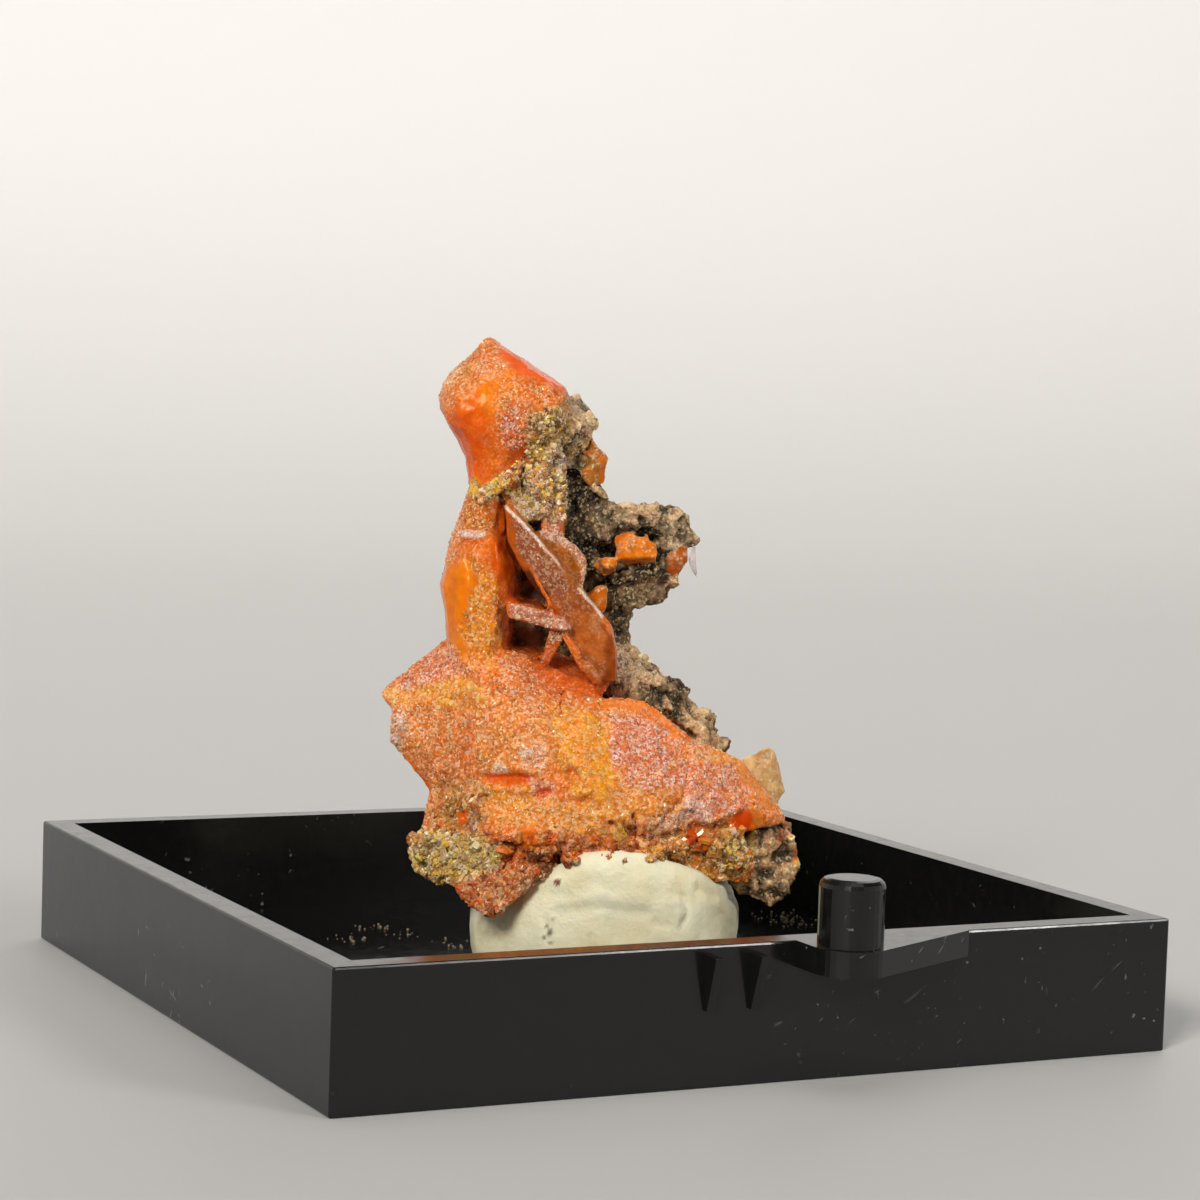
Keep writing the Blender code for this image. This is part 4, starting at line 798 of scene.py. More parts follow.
def flattened(surface, oval, size):
    """Brings the front inside an oval of the drawing to its own average depth over a size."""
    step = 3.0
    margin = 3 * size
    place, depth = surface.place, surface.points[:, 1].copy()
    corner = np.array(oval[:2]) - np.array(oval[2:]) - margin
    spot = (place - corner) / step
    columns, rows = (int(2 * (half_side + margin) / step) + 2 for half_side in oval[2:])
    near = (spot[:, 0] >= 0) & (spot[:, 0] < columns - 1) & (spot[:, 1] >= 0)
    near &= (spot[:, 1] < rows - 1) & (surface.facing > 0.15)
    cell = np.round(spot[near]).astype(int)
    index = cell[:, 1] * columns + cell[:, 0]
    total = np.bincount(index, depth[near], rows * columns).reshape(rows, columns)
    count = np.bincount(index, minlength=rows * columns).reshape(rows, columns)
    layers = [np.where(count > 0, total / np.maximum(count, 1), 0.0), (count > 0).astype(float)]
    reach = np.arange(-int(margin / step), int(margin / step) + 1) * step / size
    kernel = np.exp(-reach * reach / 2)
    for axis in (0, 1):
        layers = [np.apply_along_axis(np.convolve, axis, one, kernel, "same") for one in layers]
    mean = layers[0] / np.maximum(layers[1], 1e-6)
    spot = np.clip(spot, 0, (columns - 1.001, rows - 1.001))
    left, top = np.floor(spot).astype(int).T
    across, down = (spot - np.floor(spot)).T
    target = (mean[top, left] * (1 - across) + mean[top, left + 1] * across) * (1 - down)
    target += (mean[top + 1, left] * (1 - across) + mean[top + 1, left + 1] * across) * down
    share = 1 - smoothstep(-16, 6, outside_oval(place, oval))
    share *= smoothstep(-0.4, 0.0, surface.facing) * (1 - smoothstep(0.7, 1.1, depth - target))
    surface.points[:, 1] += (target - depth) * share
    surface.update()


# Small crystals grown on a surface

# Level and width of a crystal's three rings, and their corners
RINGS = [(-0.5, 0.8), (0.12, 1.0), (0.5, 0.62)]
RING_CORNERS = [(-1, -1), (1, -1), (1, 1), (-1, 1)]


def crystal_faces():
    """A crystal's two ends and the sides between its rings."""
    faces = [(3, 2, 1, 0), (8, 9, 10, 11)]
    for low in (0, 4):
        for k in range(4):
            j = (k + 1) % 4
            faces.append((low + k, low + j, low + 4 + j, low + 4 + k))
    return np.array(faces)


def scatter(name, surface, weight, count, sizes, seed, flatness, lean, sink):
    """Tabular crystals on a surface where the weight is high, as one mesh, and the corner of the
    surface that each stands near."""
    dice = np.random.default_rng(seed)
    tris = triangles(surface.mesh)
    a, b, c = (surface.points[tris[:, k]] for k in range(3))
    area = np.linalg.norm(np.cross(b - a, c - a), axis=1) * weight[tris].mean(1)
    chosen = dice.choice(len(tris), count, p=area / area.sum())
    u, v = dice.random((2, count))
    over = u + v > 1
    u[over], v[over] = 1 - u[over], 1 - v[over]
    a, b, c = a[chosen], b[chosen], c[chosen]
    spots = a + u[:, None] * (b - a) + v[:, None] * (c - a)
    up = unit(surface.normals[tris[chosen]].mean(1))
    axis = unit(up + dice.normal(size=(count, 3)) * lean)
    side = unit(np.cross(axis, dice.normal(size=(count, 3))))
    third = np.cross(axis, side)
    size = dice.uniform(*sizes, count) * (0.75 + 0.5 * dice.random(count))
    template = np.array([(wide * x, wide * y, z) for z, wide in RINGS for x, y in RING_CORNERS])
    stretch = dice.uniform(0.75, 1.3, count)
    local = template[None, :, :] * (size / 2)[:, None, None]
    local[:, :, 0] *= stretch[:, None]
    local[:, :, 2] *= 2 * flatness * dice.uniform(0.7, 1.5, count)[:, None]
    frames = np.stack([side, third, axis], axis=1)
    corners = np.einsum("nkj,njc->nkc", local, frames)
    corners += (spots - up * (size * sink)[:, None])[:, None, :]
    first = len(template) * np.arange(count)[:, None, None]
    faces = (crystal_faces()[None] + first).reshape(-1, 4)
    return new_object(name, to_mesh(name, corners.reshape(-1, 3), faces)), tris[chosen, 0]


def copy_marks(obj, nearest, tint, marks, seed, jitter, pale=None, often=0.0, own=None):
    """Gives each small crystal the look of the place it stands on, some paler, or its own."""
    dice = np.random.default_rng(seed)
    count = len(nearest)
    shade = 1 + dice.normal(size=(count, 1)) * jitter
    colour = tint[nearest] * shade
    if own is not None:
        colour = own[dice.integers(0, len(own), count)] * shade * 0.7 + colour * 0.3
    if pale is not None:
        share = (dice.random((count, 1)) < often) * dice.uniform(0.3, 0.85, (count, 1))
        colour = colour * (1 - share) + pale * share
    corners = len(obj.data.vertices) // count
    mark(obj.data, np.repeat(colour, corners, axis=0), np.repeat(marks[nearest], corners, axis=0))


# Materials

def new_material(name):
    material = bpy.data.materials.new(name)
    material.use_nodes = True
    return material, material.node_tree, material.node_tree.nodes["Principled BSDF"]


def feed(tree, node, inputs):
    """Sets a node's inputs, with a link where the value is another node's output."""
    for socket, value in inputs.items():
        if isinstance(value, bpy.types.NodeSocket):
            tree.links.new(value, node.inputs[socket])
        else:
            node.inputs[socket].default_value = value


def add(tree, kind, inputs, **settings):
    node = tree.nodes.new(kind)
    for field, value in settings.items():
        setattr(node, field, value)
    feed(tree, node, inputs)
    return node


def attribute(tree, name, output="Fac"):
    return add(tree, "ShaderNodeAttribute", {}, attribute_name=name).outputs[output]


def object_place(tree):
    return add(tree, "ShaderNodeTexCoord", {}).outputs["Object"]


def math_node(tree, operation, *values, clamp=False):
    inputs = dict(enumerate(values))
    return add(tree, "ShaderNodeMath", inputs, operation=operation, use_clamp=clamp).outputs[0]


def vector_node(tree, operation, inputs):
    return add(tree, "ShaderNodeVectorMath", inputs, operation=operation).outputs[0]


def mix_colour(tree, share, first, second, blend="MIX"):
    inputs = {0: share, 6: first, 7: second}
    return add(tree, "ShaderNodeMix", inputs, data_type="RGBA", blend_type=blend).outputs[2]


def shaded(tree, shade, colour):
    inputs = {"Value": shade, "Color": colour}
    return add(tree, "ShaderNodeHueSaturation", inputs).outputs["Color"]


def bump(tree, strength, distance, height, **more):
    """Relief finer than the mesh: the distance in millimetres."""
    inputs = {"Strength": strength, "Distance": distance * MM, "Height": height, **more}
    return add(tree, "ShaderNodeBump", inputs).outputs[0]


def mapped(tree, value, low, high, to_low, to_high):
    node = add(tree, "ShaderNodeMapRange", {0: value, 1: low, 2: high, 3: to_low, 4: to_high})
    return node.outputs[0]


def texture_noise(tree, size, detail=4.0, roughness=0.6):
    """Noise with cells of that many millimetres."""
    inputs = {"Scale": 1 / (size * MM), "Detail": detail, "Roughness": roughness}
    return add(tree, "ShaderNodeTexNoise", {"Vector": object_place(tree), **inputs}).outputs["Fac"]


def texture_cells(tree, size):
    inputs = {"Vector": object_place(tree), "Scale": 1 / (size * MM)}
    return add(tree, "ShaderNodeTexVoronoi", inputs)


# Sizes in the finish of crystal and rock, in millimetres, the colours of their glints, and the
# colour that darkens their pits
FINE_GRAIN, BROAD_GRAIN, FLAKE = 0.12, 0.6, 0.082
WARM_GLINT, COLD_GLINT = (1.0, 0.86, 0.62, 1.0), (1.0, 0.84, 0.77, 1.0)
GOLD = (1.0, 0.82, 0.42, 1.0)
SHADE = (0.5, 0.32, 0.28, 1.0)
WHITE = (1.0, 1.0, 1.0)


def mineral(name, gloss, glow, coat, shine, cast=WHITE, sparkle=WARM_GLINT):
    """Crystal or rock: its colour and its marks come from the mesh."""
    material, tree, shader = new_material(name)
    tint = attribute(tree, "tint", "Color")
    frost, grain, rock = (attribute(tree, mark_name) for mark_name in MARKS)
    fine = texture_noise(tree, FINE_GRAIN, 5.0, 0.65)
    broad = texture_noise(tree, BROAD_GRAIN, 4.0, 0.6)
    flakes = texture_cells(tree, FLAKE).outputs["Color"]
    parts = add(tree, "ShaderNodeSeparateColor", {0: flakes})
    flake, other = parts.outputs[0], parts.outputs[1]

    dark = mix_colour(tree, 1.0, tint, SHADE, "MULTIPLY")
    crusted = math_node(tree, "MAXIMUM", frost, grain)
    rough_share = math_node(tree, "MAXIMUM", crusted, rock)
    pits = math_node(tree, "MULTIPLY", mapped(tree, fine, 0.35, 0.55, 1.0, 0.0), rough_share)
    colour = mix_colour(tree, math_node(tree, "MULTIPLY", pits, 0.75), tint, dark)
    pale = math_node(tree, "MULTIPLY", mapped(tree, flake, 0.64, 0.74, 0.0, 0.74), frost)
    chill = mapped(tree, frost, 0.7, 1.0, 0.0, 1.0)
    glint = mix_colour(tree, chill, sparkle, COLD_GLINT)
    glint = mix_colour(tree, mapped(tree, chill, 0.0, 1.0, 0.74, 0.95), tint, glint)
    colour = mix_colour(tree, pale, colour, glint)
    gold = math_node(tree, "MULTIPLY", mapped(tree, other, 0.74, 0.82, 0.0, 0.7), grain)
    colour = mix_colour(tree, gold, colour, GOLD)
    deep = math_node(tree, "MULTIPLY", mapped(tree, flake, 0.22, 0.3, 0.6, 0.0), rough_share)
    colour = mix_colour(tree, deep, colour, dark)

    roughness = mapped(tree, rough_share, 0.0, 1.0, gloss, 0.3)
    roughness = math_node(tree, "ADD", roughness, math_node(tree, "MULTIPLY", rock, 0.4))
    wavering = mapped(tree, fine, 0.3, 0.7, -0.06, 0.1)

    own = add(tree, "ShaderNodeNewGeometry", {}).outputs["Normal"]
    tilt = vector_node(tree, "SUBTRACT", {0: flakes, 1: (0.5, 0.5, 0.5)})
    reach = mapped(tree, crusted, 0.1, 1.0, 0.03, 0.9)
    tilt = vector_node(tree, "SCALE", {0: tilt, "Scale": reach})
    facet = vector_node(tree, "NORMALIZE", {0: vector_node(tree, "ADD", {0: own, 1: tilt})})
    relief = math_node(tree, "MULTIPLY", fine, mapped(tree, rough_share, 0, 1, 0.12, 1.0))
    feed(tree, shader, {
        "Base Color": shaded(tree, mapped(tree, broad, 0.3, 0.7, 0.86, 1.12), colour),
        "Roughness": math_node(tree, "ADD", roughness, wavering, clamp=True),
        "Normal": bump(tree, 0.6, 0.05, relief, Normal=facet),
        "IOR": 1.5, "Specular IOR Level": shine, "Specular Tint": (*cast, 1.0),
        "Coat Weight": coat, "Coat Roughness": 0.1,
        "Subsurface Weight": glow, "Subsurface Radius": (0.7, 0.35, 0.1),
        "Subsurface Scale": 0.5 * MM,
    })
    return material


def scratch_lines(tree, turn, spacing, length, low, high, strength):
    """Thin broken lines that run one way: turn in degrees, spacing and length in millimetres."""
    along = add(tree, "ShaderNodeMapping", {
        0: object_place(tree), "Rotation": [math.radians(angle) for angle in turn],
        "Scale": (spacing * MM, length * MM, spacing * MM),
    }, vector_type="TEXTURE").outputs[0]
    inputs = {"Vector": along, "Scale": 1.0, "Detail": 2.0, "Distortion": 0.4}
    strands = add(tree, "ShaderNodeTexNoise", inputs).outputs["Fac"]
    lines = mapped(tree, strands, low, high, 0.0, strength)
    where = mapped(tree, texture_noise(tree, 7.0, 2.0, 0.5), 0.5, 0.62, 0.0, 1.0)
    return math_node(tree, "MULTIPLY", lines, where)


# Turn, spacing, length, noise from and to, strength
SCRATCHES = [
    ((12, 0, 8), 0.35, 9.0, 0.70, 0.74, 0.5),
    ((-20, 0, 40), 0.3, 6.0, 0.72, 0.76, 0.6),
    ((35, 10, -70), 0.4, 7.0, 0.71, 0.75, 0.5),
]


def black_plastic():
    material, tree, shader = new_material("black_plastic")
    dust = texture_noise(tree, 0.5, 6.0, 0.7)
    wear = texture_noise(tree, 6.0, 3.0, 0.6)
    speck = texture_cells(tree, 0.9).outputs["Distance"]
    specks = mapped(tree, speck, 0.02, 0.07, 1.0, 0.0)
    specks = math_node(tree, "MULTIPLY", specks, mapped(tree, wear, 0.5, 0.68, 0.0, 0.35))
    haze = math_node(tree, "MULTIPLY", mapped(tree, dust, 0.5, 0.8, 0.0, 1.0), 0.03)
    share = math_node(tree, "MAXIMUM", haze, specks)
    colour = mix_colour(tree, share, (0.006, 0.006, 0.006, 1), (0.2, 0.19, 0.18, 1))
    scratched, *others = [scratch_lines(tree, *row) for row in SCRATCHES]
    for line in others:
        scratched = math_node(tree, "MAXIMUM", scratched, line)
    roughness = mapped(tree, dust, 0.3, 0.8, 0.1, 0.26)
    height = math_node(tree, "MULTIPLY", dust, 0.04)
    height = math_node(tree, "ADD", texture_noise(tree, 3.5, 2.0, 0.5), height)
    height = math_node(tree, "SUBTRACT", height, math_node(tree, "MULTIPLY", scratched, 0.4))
    rubbed = math_node(tree, "MULTIPLY", scratched, 1.2)
    feed(tree, shader, {
        "Base Color": mix_colour(tree, scratched, colour, (0.3, 0.3, 0.29, 1)),
        "Roughness": math_node(tree, "MAXIMUM", roughness, rubbed),
        "Normal": bump(tree, 0.3, 0.05, height), "IOR": 1.42,
    })
    return material


def putty_material():
    material, tree, shader = new_material("putty")
    broad = texture_noise(tree, 1.2, 6.0, 0.62)
    fine = texture_noise(tree, 0.22, 5.0, 0.65)
    shade = mapped(tree, broad, 0.3, 0.7, 0.94, 1.05)
    height = math_node(tree, "ADD", broad, math_node(tree, "MULTIPLY", fine, 0.22))
    feed(tree, shader, {
        "Base Color": shaded(tree, shade, attribute(tree, "tint", "Color")),
        "Roughness": mapped(tree, fine, 0.3, 0.7, 0.38, 0.6),
        "Normal": bump(tree, 0.8, 0.16, height), "Subsurface Weight": 0.25,
        "Subsurface Radius": (1.0, 0.7, 0.4), "Subsurface Scale": 0.6 * MM,
    })
    return material


# Pieces

WULFENITE = mineral("wulfenite", gloss=0.2, glow=0.15, coat=0, shine=0.25, cast=(1, 0.72, 0.4))
DRUSE = mineral("wulfenite_druse", gloss=0.14, glow=0.1, coat=0.1, shine=0.5, cast=(1, 0.88, 0.74))
MATRIX = mineral("matrix_rock", gloss=0.4, glow=0, coat=0, shine=0.2, sparkle=(0.8, 0.68, 0.54, 1))
TAN = mineral("tan_crystal", gloss=0.3, glow=0.4, coat=0.1, shine=0.3, sparkle=(0.95, 0.84, 0.7, 1))
PALE = mineral("pale_crystal", gloss=0.15, glow=0.3, coat=0.2, shine=0.5, sparkle=(0.9, 0.88, 0.9, 1))
PLASTIC = black_plastic()
PUTTY = putty_material()

crust = arrays(nodes["wulfenite_crust"])
crust_tree = tree_of(*crust)
rock_tree = tree_of(*arrays(nodes["matrix_rock"]))


def detail(full, quick):
    return full


SHARE = detail(1.0, 0.2)
SKIN_VOXEL, SLAB_VOXEL = detail(0.075, 0.16), detail(0.045, 0.1)
ROCK_VOXEL, LONE_VOXEL, PUTTY_VOXEL = detail(0.095, 0.2), detail(0.05, 0.12), detail(0.09, 0.3)

# The crystal's two tints, the warm cast of its frost, and its relief: sizes and heights
ORANGE, DEEP = linear((230, 114, 20)), linear((212, 88, 14))
FROST_CAST, CAST_SHARE = (1.0, 0.6, 0.3), 0.16
WAVE, WAVE_HEIGHT = 0.9, 0.035
DRUSE_FACE, DRUSE_HEIGHT = 0.16, 0.05
GRAIN_FACE, GRAIN_HEIGHT = 0.26, 0.09
BUMP, BUMP_HEIGHT, BUMP_GRAIN, BUMP_FROST = 0.35, 0.015, 0.06, 0.03


def orange_base(surface):
    return mixed(ORANGE, DEEP, blotches(surface.points, 1.4, 0.8, seed=21))


def crust_piece(name, above, cut, voxel, lumps, flat, frosted, light):
    """The crust above or below a height: its surface, its tint and its marks."""
    solid = with_lumps(half(*crust, cut, above), lumps)
    surface = Surface(remeshed(name, *solid, voxel))
    surface.smooth(3)
    for oval, size in flat:
        flattened(surface, oval, size)
    for oval, rounds in SOFTENED:
        soft = 1 - smoothstep(-8, 8, outside_oval(surface.place, oval))
        soft *= smoothstep(0.0, 0.3, surface.facing)
        surface.smooth(detail(rounds, rounds // 4), 0.5, soft)
    inside = outside_polygon(surface.place, SLAB_AREA) < 0
    inside &= (surface.points[:, 1] < SLAB_DEPTH) & (surface.points[:, 2] > SLAB_FOOT)
    surface.push(-SLAB_ROOM * inside)
    surface.smooth(2)
    strokes(surface)
    tint, marks = paint(surface, ZONES, orange_base(surface), (frosted, 0.15, 0.0), True)
    frost, grain = marks[:, 0], marks[:, 1]
    tint = mixed(tint, FROST_CAST, CAST_SHARE * frost)
    points = surface.points
    wave = rough_noise(points, WAVE, 3, seed=81) * WAVE_HEIGHT
    small = facets(points, DRUSE_FACE, seed=5) * DRUSE_HEIGHT * frost
    large = facets(points, GRAIN_FACE, seed=6) * GRAIN_HEIGHT * grain
    druse = small + large
    height = BUMP_HEIGHT + BUMP_GRAIN * grain + BUMP_FROST * frost
    bumps = rough_noise(points, BUMP, 3, seed=91) * height
    surface.push(wave + druse + bumps)
    # Painted shade and light: the tint is darkened in the relief's hollows and lightened on its bumps. It
    # is scaled by light, which paints the skirt lighter than the upper crust for the light it lacks low in
    # the box.
    painted_shade_and_light = np.clip(light + (druse + bumps) * 4.0, 0.55, 1.5)[:, None]
    mark(surface.mesh, tint * painted_shade_and_light, marks)
    return surface, tint * painted_shade_and_light, marks


# Tabular crystals in front of the hollow: outline, a point and the direction of the face,
# thickness, bevel
SLABS = {
    "blade": (
        [(504, 507), (507, 541), (515, 557), (528, 581), (541, 597), (552, 612), (560, 628),
         (566, 645), (576, 665), (588, 681), (615, 683), (615, 652), (609, 627), (598, 613),
         (575, 582), (555, 559), (530, 530), (508, 505)],
        (-1.2, -2.86, 15.87), (-0.2, -0.96, -0.15), 0.5, 0.05,
    ),
    "plate_behind": (
        [(537, 529), (554, 532), (565, 537), (578, 546), (587, 557), (587, 572), (583, 590),
         (574, 590), (556, 566), (540, 546)],
        (-0.6, -1.5, 16.9), (0.3, -0.93, 0.2), 0.4, 0.06,
    ),
    "strut": (
        [(505, 602), (530, 606), (550, 611), (566, 621), (572, 629), (566, 632), (550, 629),
         (530, 623), (507, 618)],
        (-1.47, -3.15, 14.6), (-0.1, -0.99, 0.1), 0.45, 0.06,
    ),
    "glassy_crystal": (
        [(517, 834), (525, 826), (535, 829), (538, 841), (531, 852), (521, 849)],
        (-1.7, -4.95, 6.4), (0.3, -0.9, 0.25), 0.5, 0.07,
    ),
    "sliver": (
        [(550, 628), (569, 628), (562, 641), (549, 664), (544, 668), (540, 662), (545, 648)],
        (-0.95, -3.0, 13.4), (0.05, -0.98, 0.15), 0.3, 0.05,
    ),
}
# Where the crust behind them makes room: an area of the drawing, in front of a depth and above
# a height, and by how much
SLAB_DEPTH, SLAB_FOOT, SLAB_ROOM = -0.9, 12.9, 0.16
SLAB_AREA = [
    (508, 512), (520, 516), (600, 604), (618, 645), (618, 680), (590, 680), (560, 632),
    (546, 668), (538, 662), (544, 632), (512, 620), (512, 600), (545, 606), (524, 582), (508, 546),
]

# Ovals on the drawing whose blocky forms run softly into each other, and how much
SOFTENED = [((522, 744, 64, 56), 24), ((640, 790, 70, 40), 16), ((440, 740, 40, 50), 12)]
# Ovals on the drawing that are brought to their average depth, and over what size
FLAT = [((524, 738, 60, 52), 26), ((548, 700, 44, 24), 14)]
# Lumps that close gaps: place on the drawing, depth, radius
LUMPS_LOW = [
    ((508, 840), -3.5, 0.7), ((524, 842), -3.7, 0.6), ((529, 840), -4.5, 0.28),
    ((540, 846), -4.0, 0.5), ((507, 849), -4.3, 0.45), ((516, 852), -4.4, 0.4),
    ((512, 838), -4.3, 0.4),
]
LUMPS_HIGH = [((550, 445), -0.9, 0.45), ((545, 452), -1.0, 0.35)]
LUMPS_ROCK = [
    ((632, 530), 1.2, 0.45), ((646, 529), 1.2, 0.4), ((620, 534), 1.2, 0.4),
    ((668, 556), 1.3, 0.42), ((669, 579), 1.3, 0.42), ((660, 566), 1.0, 0.4),
    ((616, 580), 0.7, 0.36), ((628, 577), 0.6, 0.36), ((640, 572), 0.6, 0.38),
    ((582, 458), 0.9, 0.4), ((584, 466), 0.9, 0.35), ((652, 570), 0.7, 0.38),
    ((600, 566), 0.9, 0.34), ((625, 558), 1.9, 0.6), ((645, 556), 1.9, 0.6),
    ((608, 574), 1.6, 0.45), ((616, 590), 1.4, 0.5), ((612, 602), 1.4, 0.45),
    ((622, 600), 1.3, 0.4), ((600, 596), 1.6, 0.45),
]

# light: how much lighter each part's tint is painted; the skirt is painted lighter for the light it lacks
# low in the box
upper = crust_piece(
    "crystal_upper", above=True, cut=12.9, voxel=SKIN_VOXEL, lumps=LUMPS_HIGH, flat=[],
    frosted=0.15, light=1.0,
)
skirt = crust_piece(
    "crystal_skirt", above=False, cut=13.3, voxel=SKIN_VOXEL * 1.15, lumps=LUMPS_LOW, flat=FLAT,
    frosted=0.5, light=1.17,
)

# The glints of small crystals, on bare crystal and on frost
SPARK, COLD_SPARK = np.array((1.0, 0.80, 0.50)), np.array((1.0, 0.84, 0.76))


def druse_on(name, skin, count, sizes, seed):
    """Fine crystals where a skin is frosted or grained."""
    surface, tint, marks = skin
    weight = np.clip(marks[:, 0] - 0.25, 0, 1) ** 1.2 + 0.6 * np.clip(marks[:, 1] - 0.3, 0, 1)
    weight *= smoothstep(-0.3, 0.1, surface.facing) * 0.8 + 0.2
    obj, nearest = scatter(
        name, surface, weight, int(count * SHARE), sizes, seed, flatness=0.45, lean=0.9, sink=0.3,
    )
    chill = smoothstep(0.7, 1.0, marks[nearest, 0])
    pale = mixed(np.tile(SPARK, (len(nearest), 1)), COLD_SPARK, chill)
    marks = marks * (0.2, 0.2, 1.0)
    copy_marks(obj, nearest, tint * 1.05, marks, seed + 1, jitter=0.24, pale=pale, often=0.36)
    finish_piece(obj, None, DRUSE, smooth=False)


def grown_in(name, skin, areas, colours, count, sizes, seed, **form):
    """Larger crystals of several colours inside areas of the drawing."""
    surface, tint, marks = skin
    weight = np.zeros(len(surface.points))
    for area in areas:
        weight = np.maximum(weight, outside_polygon(surface.place, area) < 0)
    weight *= smoothstep(-0.2, 0.1, surface.facing)
    across, down = surface.place.T
    weight *= down < np.interp(across, *np.array(PUTTY_EDGE).T) - PUTTY_GAP
    obj, nearest = scatter(name, surface, weight, int(count * SHARE), sizes, seed, **form)
    own = np.array([linear(colour) for colour in colours])
    copy_marks(obj, nearest, tint, marks * (0.5, 0.5, 0.3), seed + 1, jitter=0.2, own=own)
    finish_piece(obj, None, DRUSE, smooth=False)


# Where the putty's edge hides the specimen's foot: places across and down the drawing, and how
# far above it crystals end
PUTTY_GAP = 13
PUTTY_EDGE = [
    (500, 2000), (505, 905), (514, 902), (530, 892), (545, 884), (560, 875), (580, 866),
    (600, 860), (620, 860), (640, 863), (660, 869), (680, 873), (700, 878), (718, 881),
    (732, 898), (738, 2000),
]
FRINGE_AREAS = [
    [(440, 884), (500, 868), (530, 876), (516, 900), (500, 916), (485, 918), (462, 900)],
    [(500, 836), (560, 832), (606, 836), (640, 844), (660, 866), (600, 864), (560, 876),
     (520, 888), (498, 874)],
    [(610, 822), (690, 822), (740, 826), (756, 836), (752, 872), (720, 886), (680, 876),
     (640, 866)],
    [(432, 786), (480, 786), (492, 812), (470, 834), (432, 826)],
]
FRINGE_COLOURS = [
    (228, 104, 24), (210, 84, 18), (176, 52, 12), (222, 140, 50), (206, 130, 60), (236, 190, 150),
    (120, 50, 20), (206, 120, 84), (216, 150, 100), (96, 44, 24),
]
MIMETITE_AREAS = [
    [(400, 852), (404, 824), (424, 828), (470, 834), (500, 844), (500, 866), (470, 884), (440, 886),
     (414, 872)],
    [(470, 496), (505, 470), (540, 440), (536, 412), (560, 408), (580, 430), (600, 470),
     (600, 500), (574, 515), (546, 524), (524, 508), (505, 500), (480, 504)],
    [(716, 834), (750, 832), (754, 866), (720, 872)],
]
MIMETITE_COLOURS = [
    (244, 206, 96), (216, 168, 72), (255, 246, 206), (130, 100, 44), (224, 186, 146),
    (255, 236, 214), (180, 144, 130), (232, 180, 60), (90, 66, 42), (250, 228, 150),
]
druse_on("druse_upper", upper, count=6500, sizes=(0.05, 0.12), seed=101)
druse_on("druse_skirt", skirt, count=8900, sizes=(0.06, 0.15), seed=103)
grown_in(
    "fringe_crystals", skirt, FRINGE_AREAS, FRINGE_COLOURS, count=640, sizes=(0.16, 0.52), seed=105,
    flatness=0.35, lean=1.2, sink=0.32,
)
for name, skin, sizes, seed in (
    ("mimetite_low", skirt, (0.1, 0.24), 107), ("mimetite_high", upper, (0.08, 0.2), 109),
):
    grown_in(
        name, skin, MIMETITE_AREAS, MIMETITE_COLOURS, count=900, sizes=sizes, seed=seed,
        flatness=0.8, lean=1.5, sink=0.2,
    )
for surface, _, _ in (upper, skirt):
    finish_piece(surface.obj, "wulfenite_crust", WULFENITE)


def slab_piece(name):
    surface = Surface(remeshed(name, *slab(*SLABS[name]), SLAB_VOXEL))
    surface.smooth(2)
    surface.push(rough_noise(surface.points, 0.6, 3, seed=161) * 0.02)
    tint, marks = paint(surface, ZONES, orange_base(surface), (0.15, 0.0, 0.0), True)
    surface.push(facets(surface.points, 0.14, seed=12) * 0.03 * marks[:, 0])
    mark(surface.mesh, tint, marks)
    druse_on("druse_" + name, (surface, tint, marks), count=260, sizes=(0.05, 0.1), seed=111)
    finish_piece(surface.obj, "wulfenite_crust", WULFENITE)


for name in SLABS:
    slab_piece(name)

# The rock's tints, the palest that its painted light reaches, and its relief: sizes and heights
BROWN, DARK_BROWN = linear((112, 90, 66)), linear((66, 52, 40))
PALEST, PALE_GRAIN = linear((226, 196, 160)), linear((206, 184, 150))
BLOCK, BLOCK_HEIGHT = 0.9, 0.24
CHIP, CHIP_HEIGHT = 0.32, 0.10
PIT, PIT_HEIGHT, PIT_DEPTH = 0.5, 0.14, 0.09


def rock_piece():
    surface = Surface(remeshed(
        "matrix", *with_lumps(arrays(nodes["matrix_rock"]), LUMPS_ROCK), ROCK_VOXEL,
    ))
    surface.smooth(2)
    surface.reach(crust_tree)
    strokes(surface)
    points = surface.points
    zones = [zone for zone in ZONES if zone[-1]] + ROCK_ZONES
    base = mixed(BROWN, DARK_BROWN, blotches(points, 0.8, 0.9, 5, seed=121))
    tint, marks = paint(surface, zones, base, (0.0, 0.4, 1.0), False)
    blocks = facets(points, BLOCK, seed=8) * BLOCK_HEIGHT
    chips = facets(points, CHIP, seed=9) * CHIP_HEIGHT
    relief = blocks + chips + rough_noise(points, PIT, seed=131) * PIT_HEIGHT - PIT_DEPTH
    surface.push(relief * (0.5 + 0.5 * marks[:, 1]))
    # Painted shade and light: the rock's tint is darkened in the relief's hollows and lightened on its
    # ridges, up to the palest tint.
    painted_shade_and_light = np.clip(2.3 + relief * 11.0, 0.25, 3.6)[:, None]
    tint = np.minimum(tint * painted_shade_and_light, PALEST)
    mark(surface.mesh, tint, marks)
    weight = smoothstep(0.15, 0.6, rough_noise(points, 0.7, 3, seed=141)) + marks[:, 0] * 2.0
    weight *= smoothstep(-0.05, 0.12, relief)
    weight *= 0.1 + smoothstep(-0.2, 0.3, surface.facing)
    beads, nearest = scatter(
        "matrix_grains", surface, weight, int(2200 * SHARE), sizes=(0.05, 0.2), seed=151,
        flatness=0.8, lean=1.4, sink=0.25,
    )
    marks = marks * (0.3, 0.4, 0.8)
    copy_marks(beads, nearest, tint, marks, 152, jitter=0.25, pale=PALE_GRAIN, often=0.45)
    finish_piece(surface.obj, "matrix_rock", MATRIX)
    finish_piece(beads, None, MATRIX, smooth=False)


rock_piece()

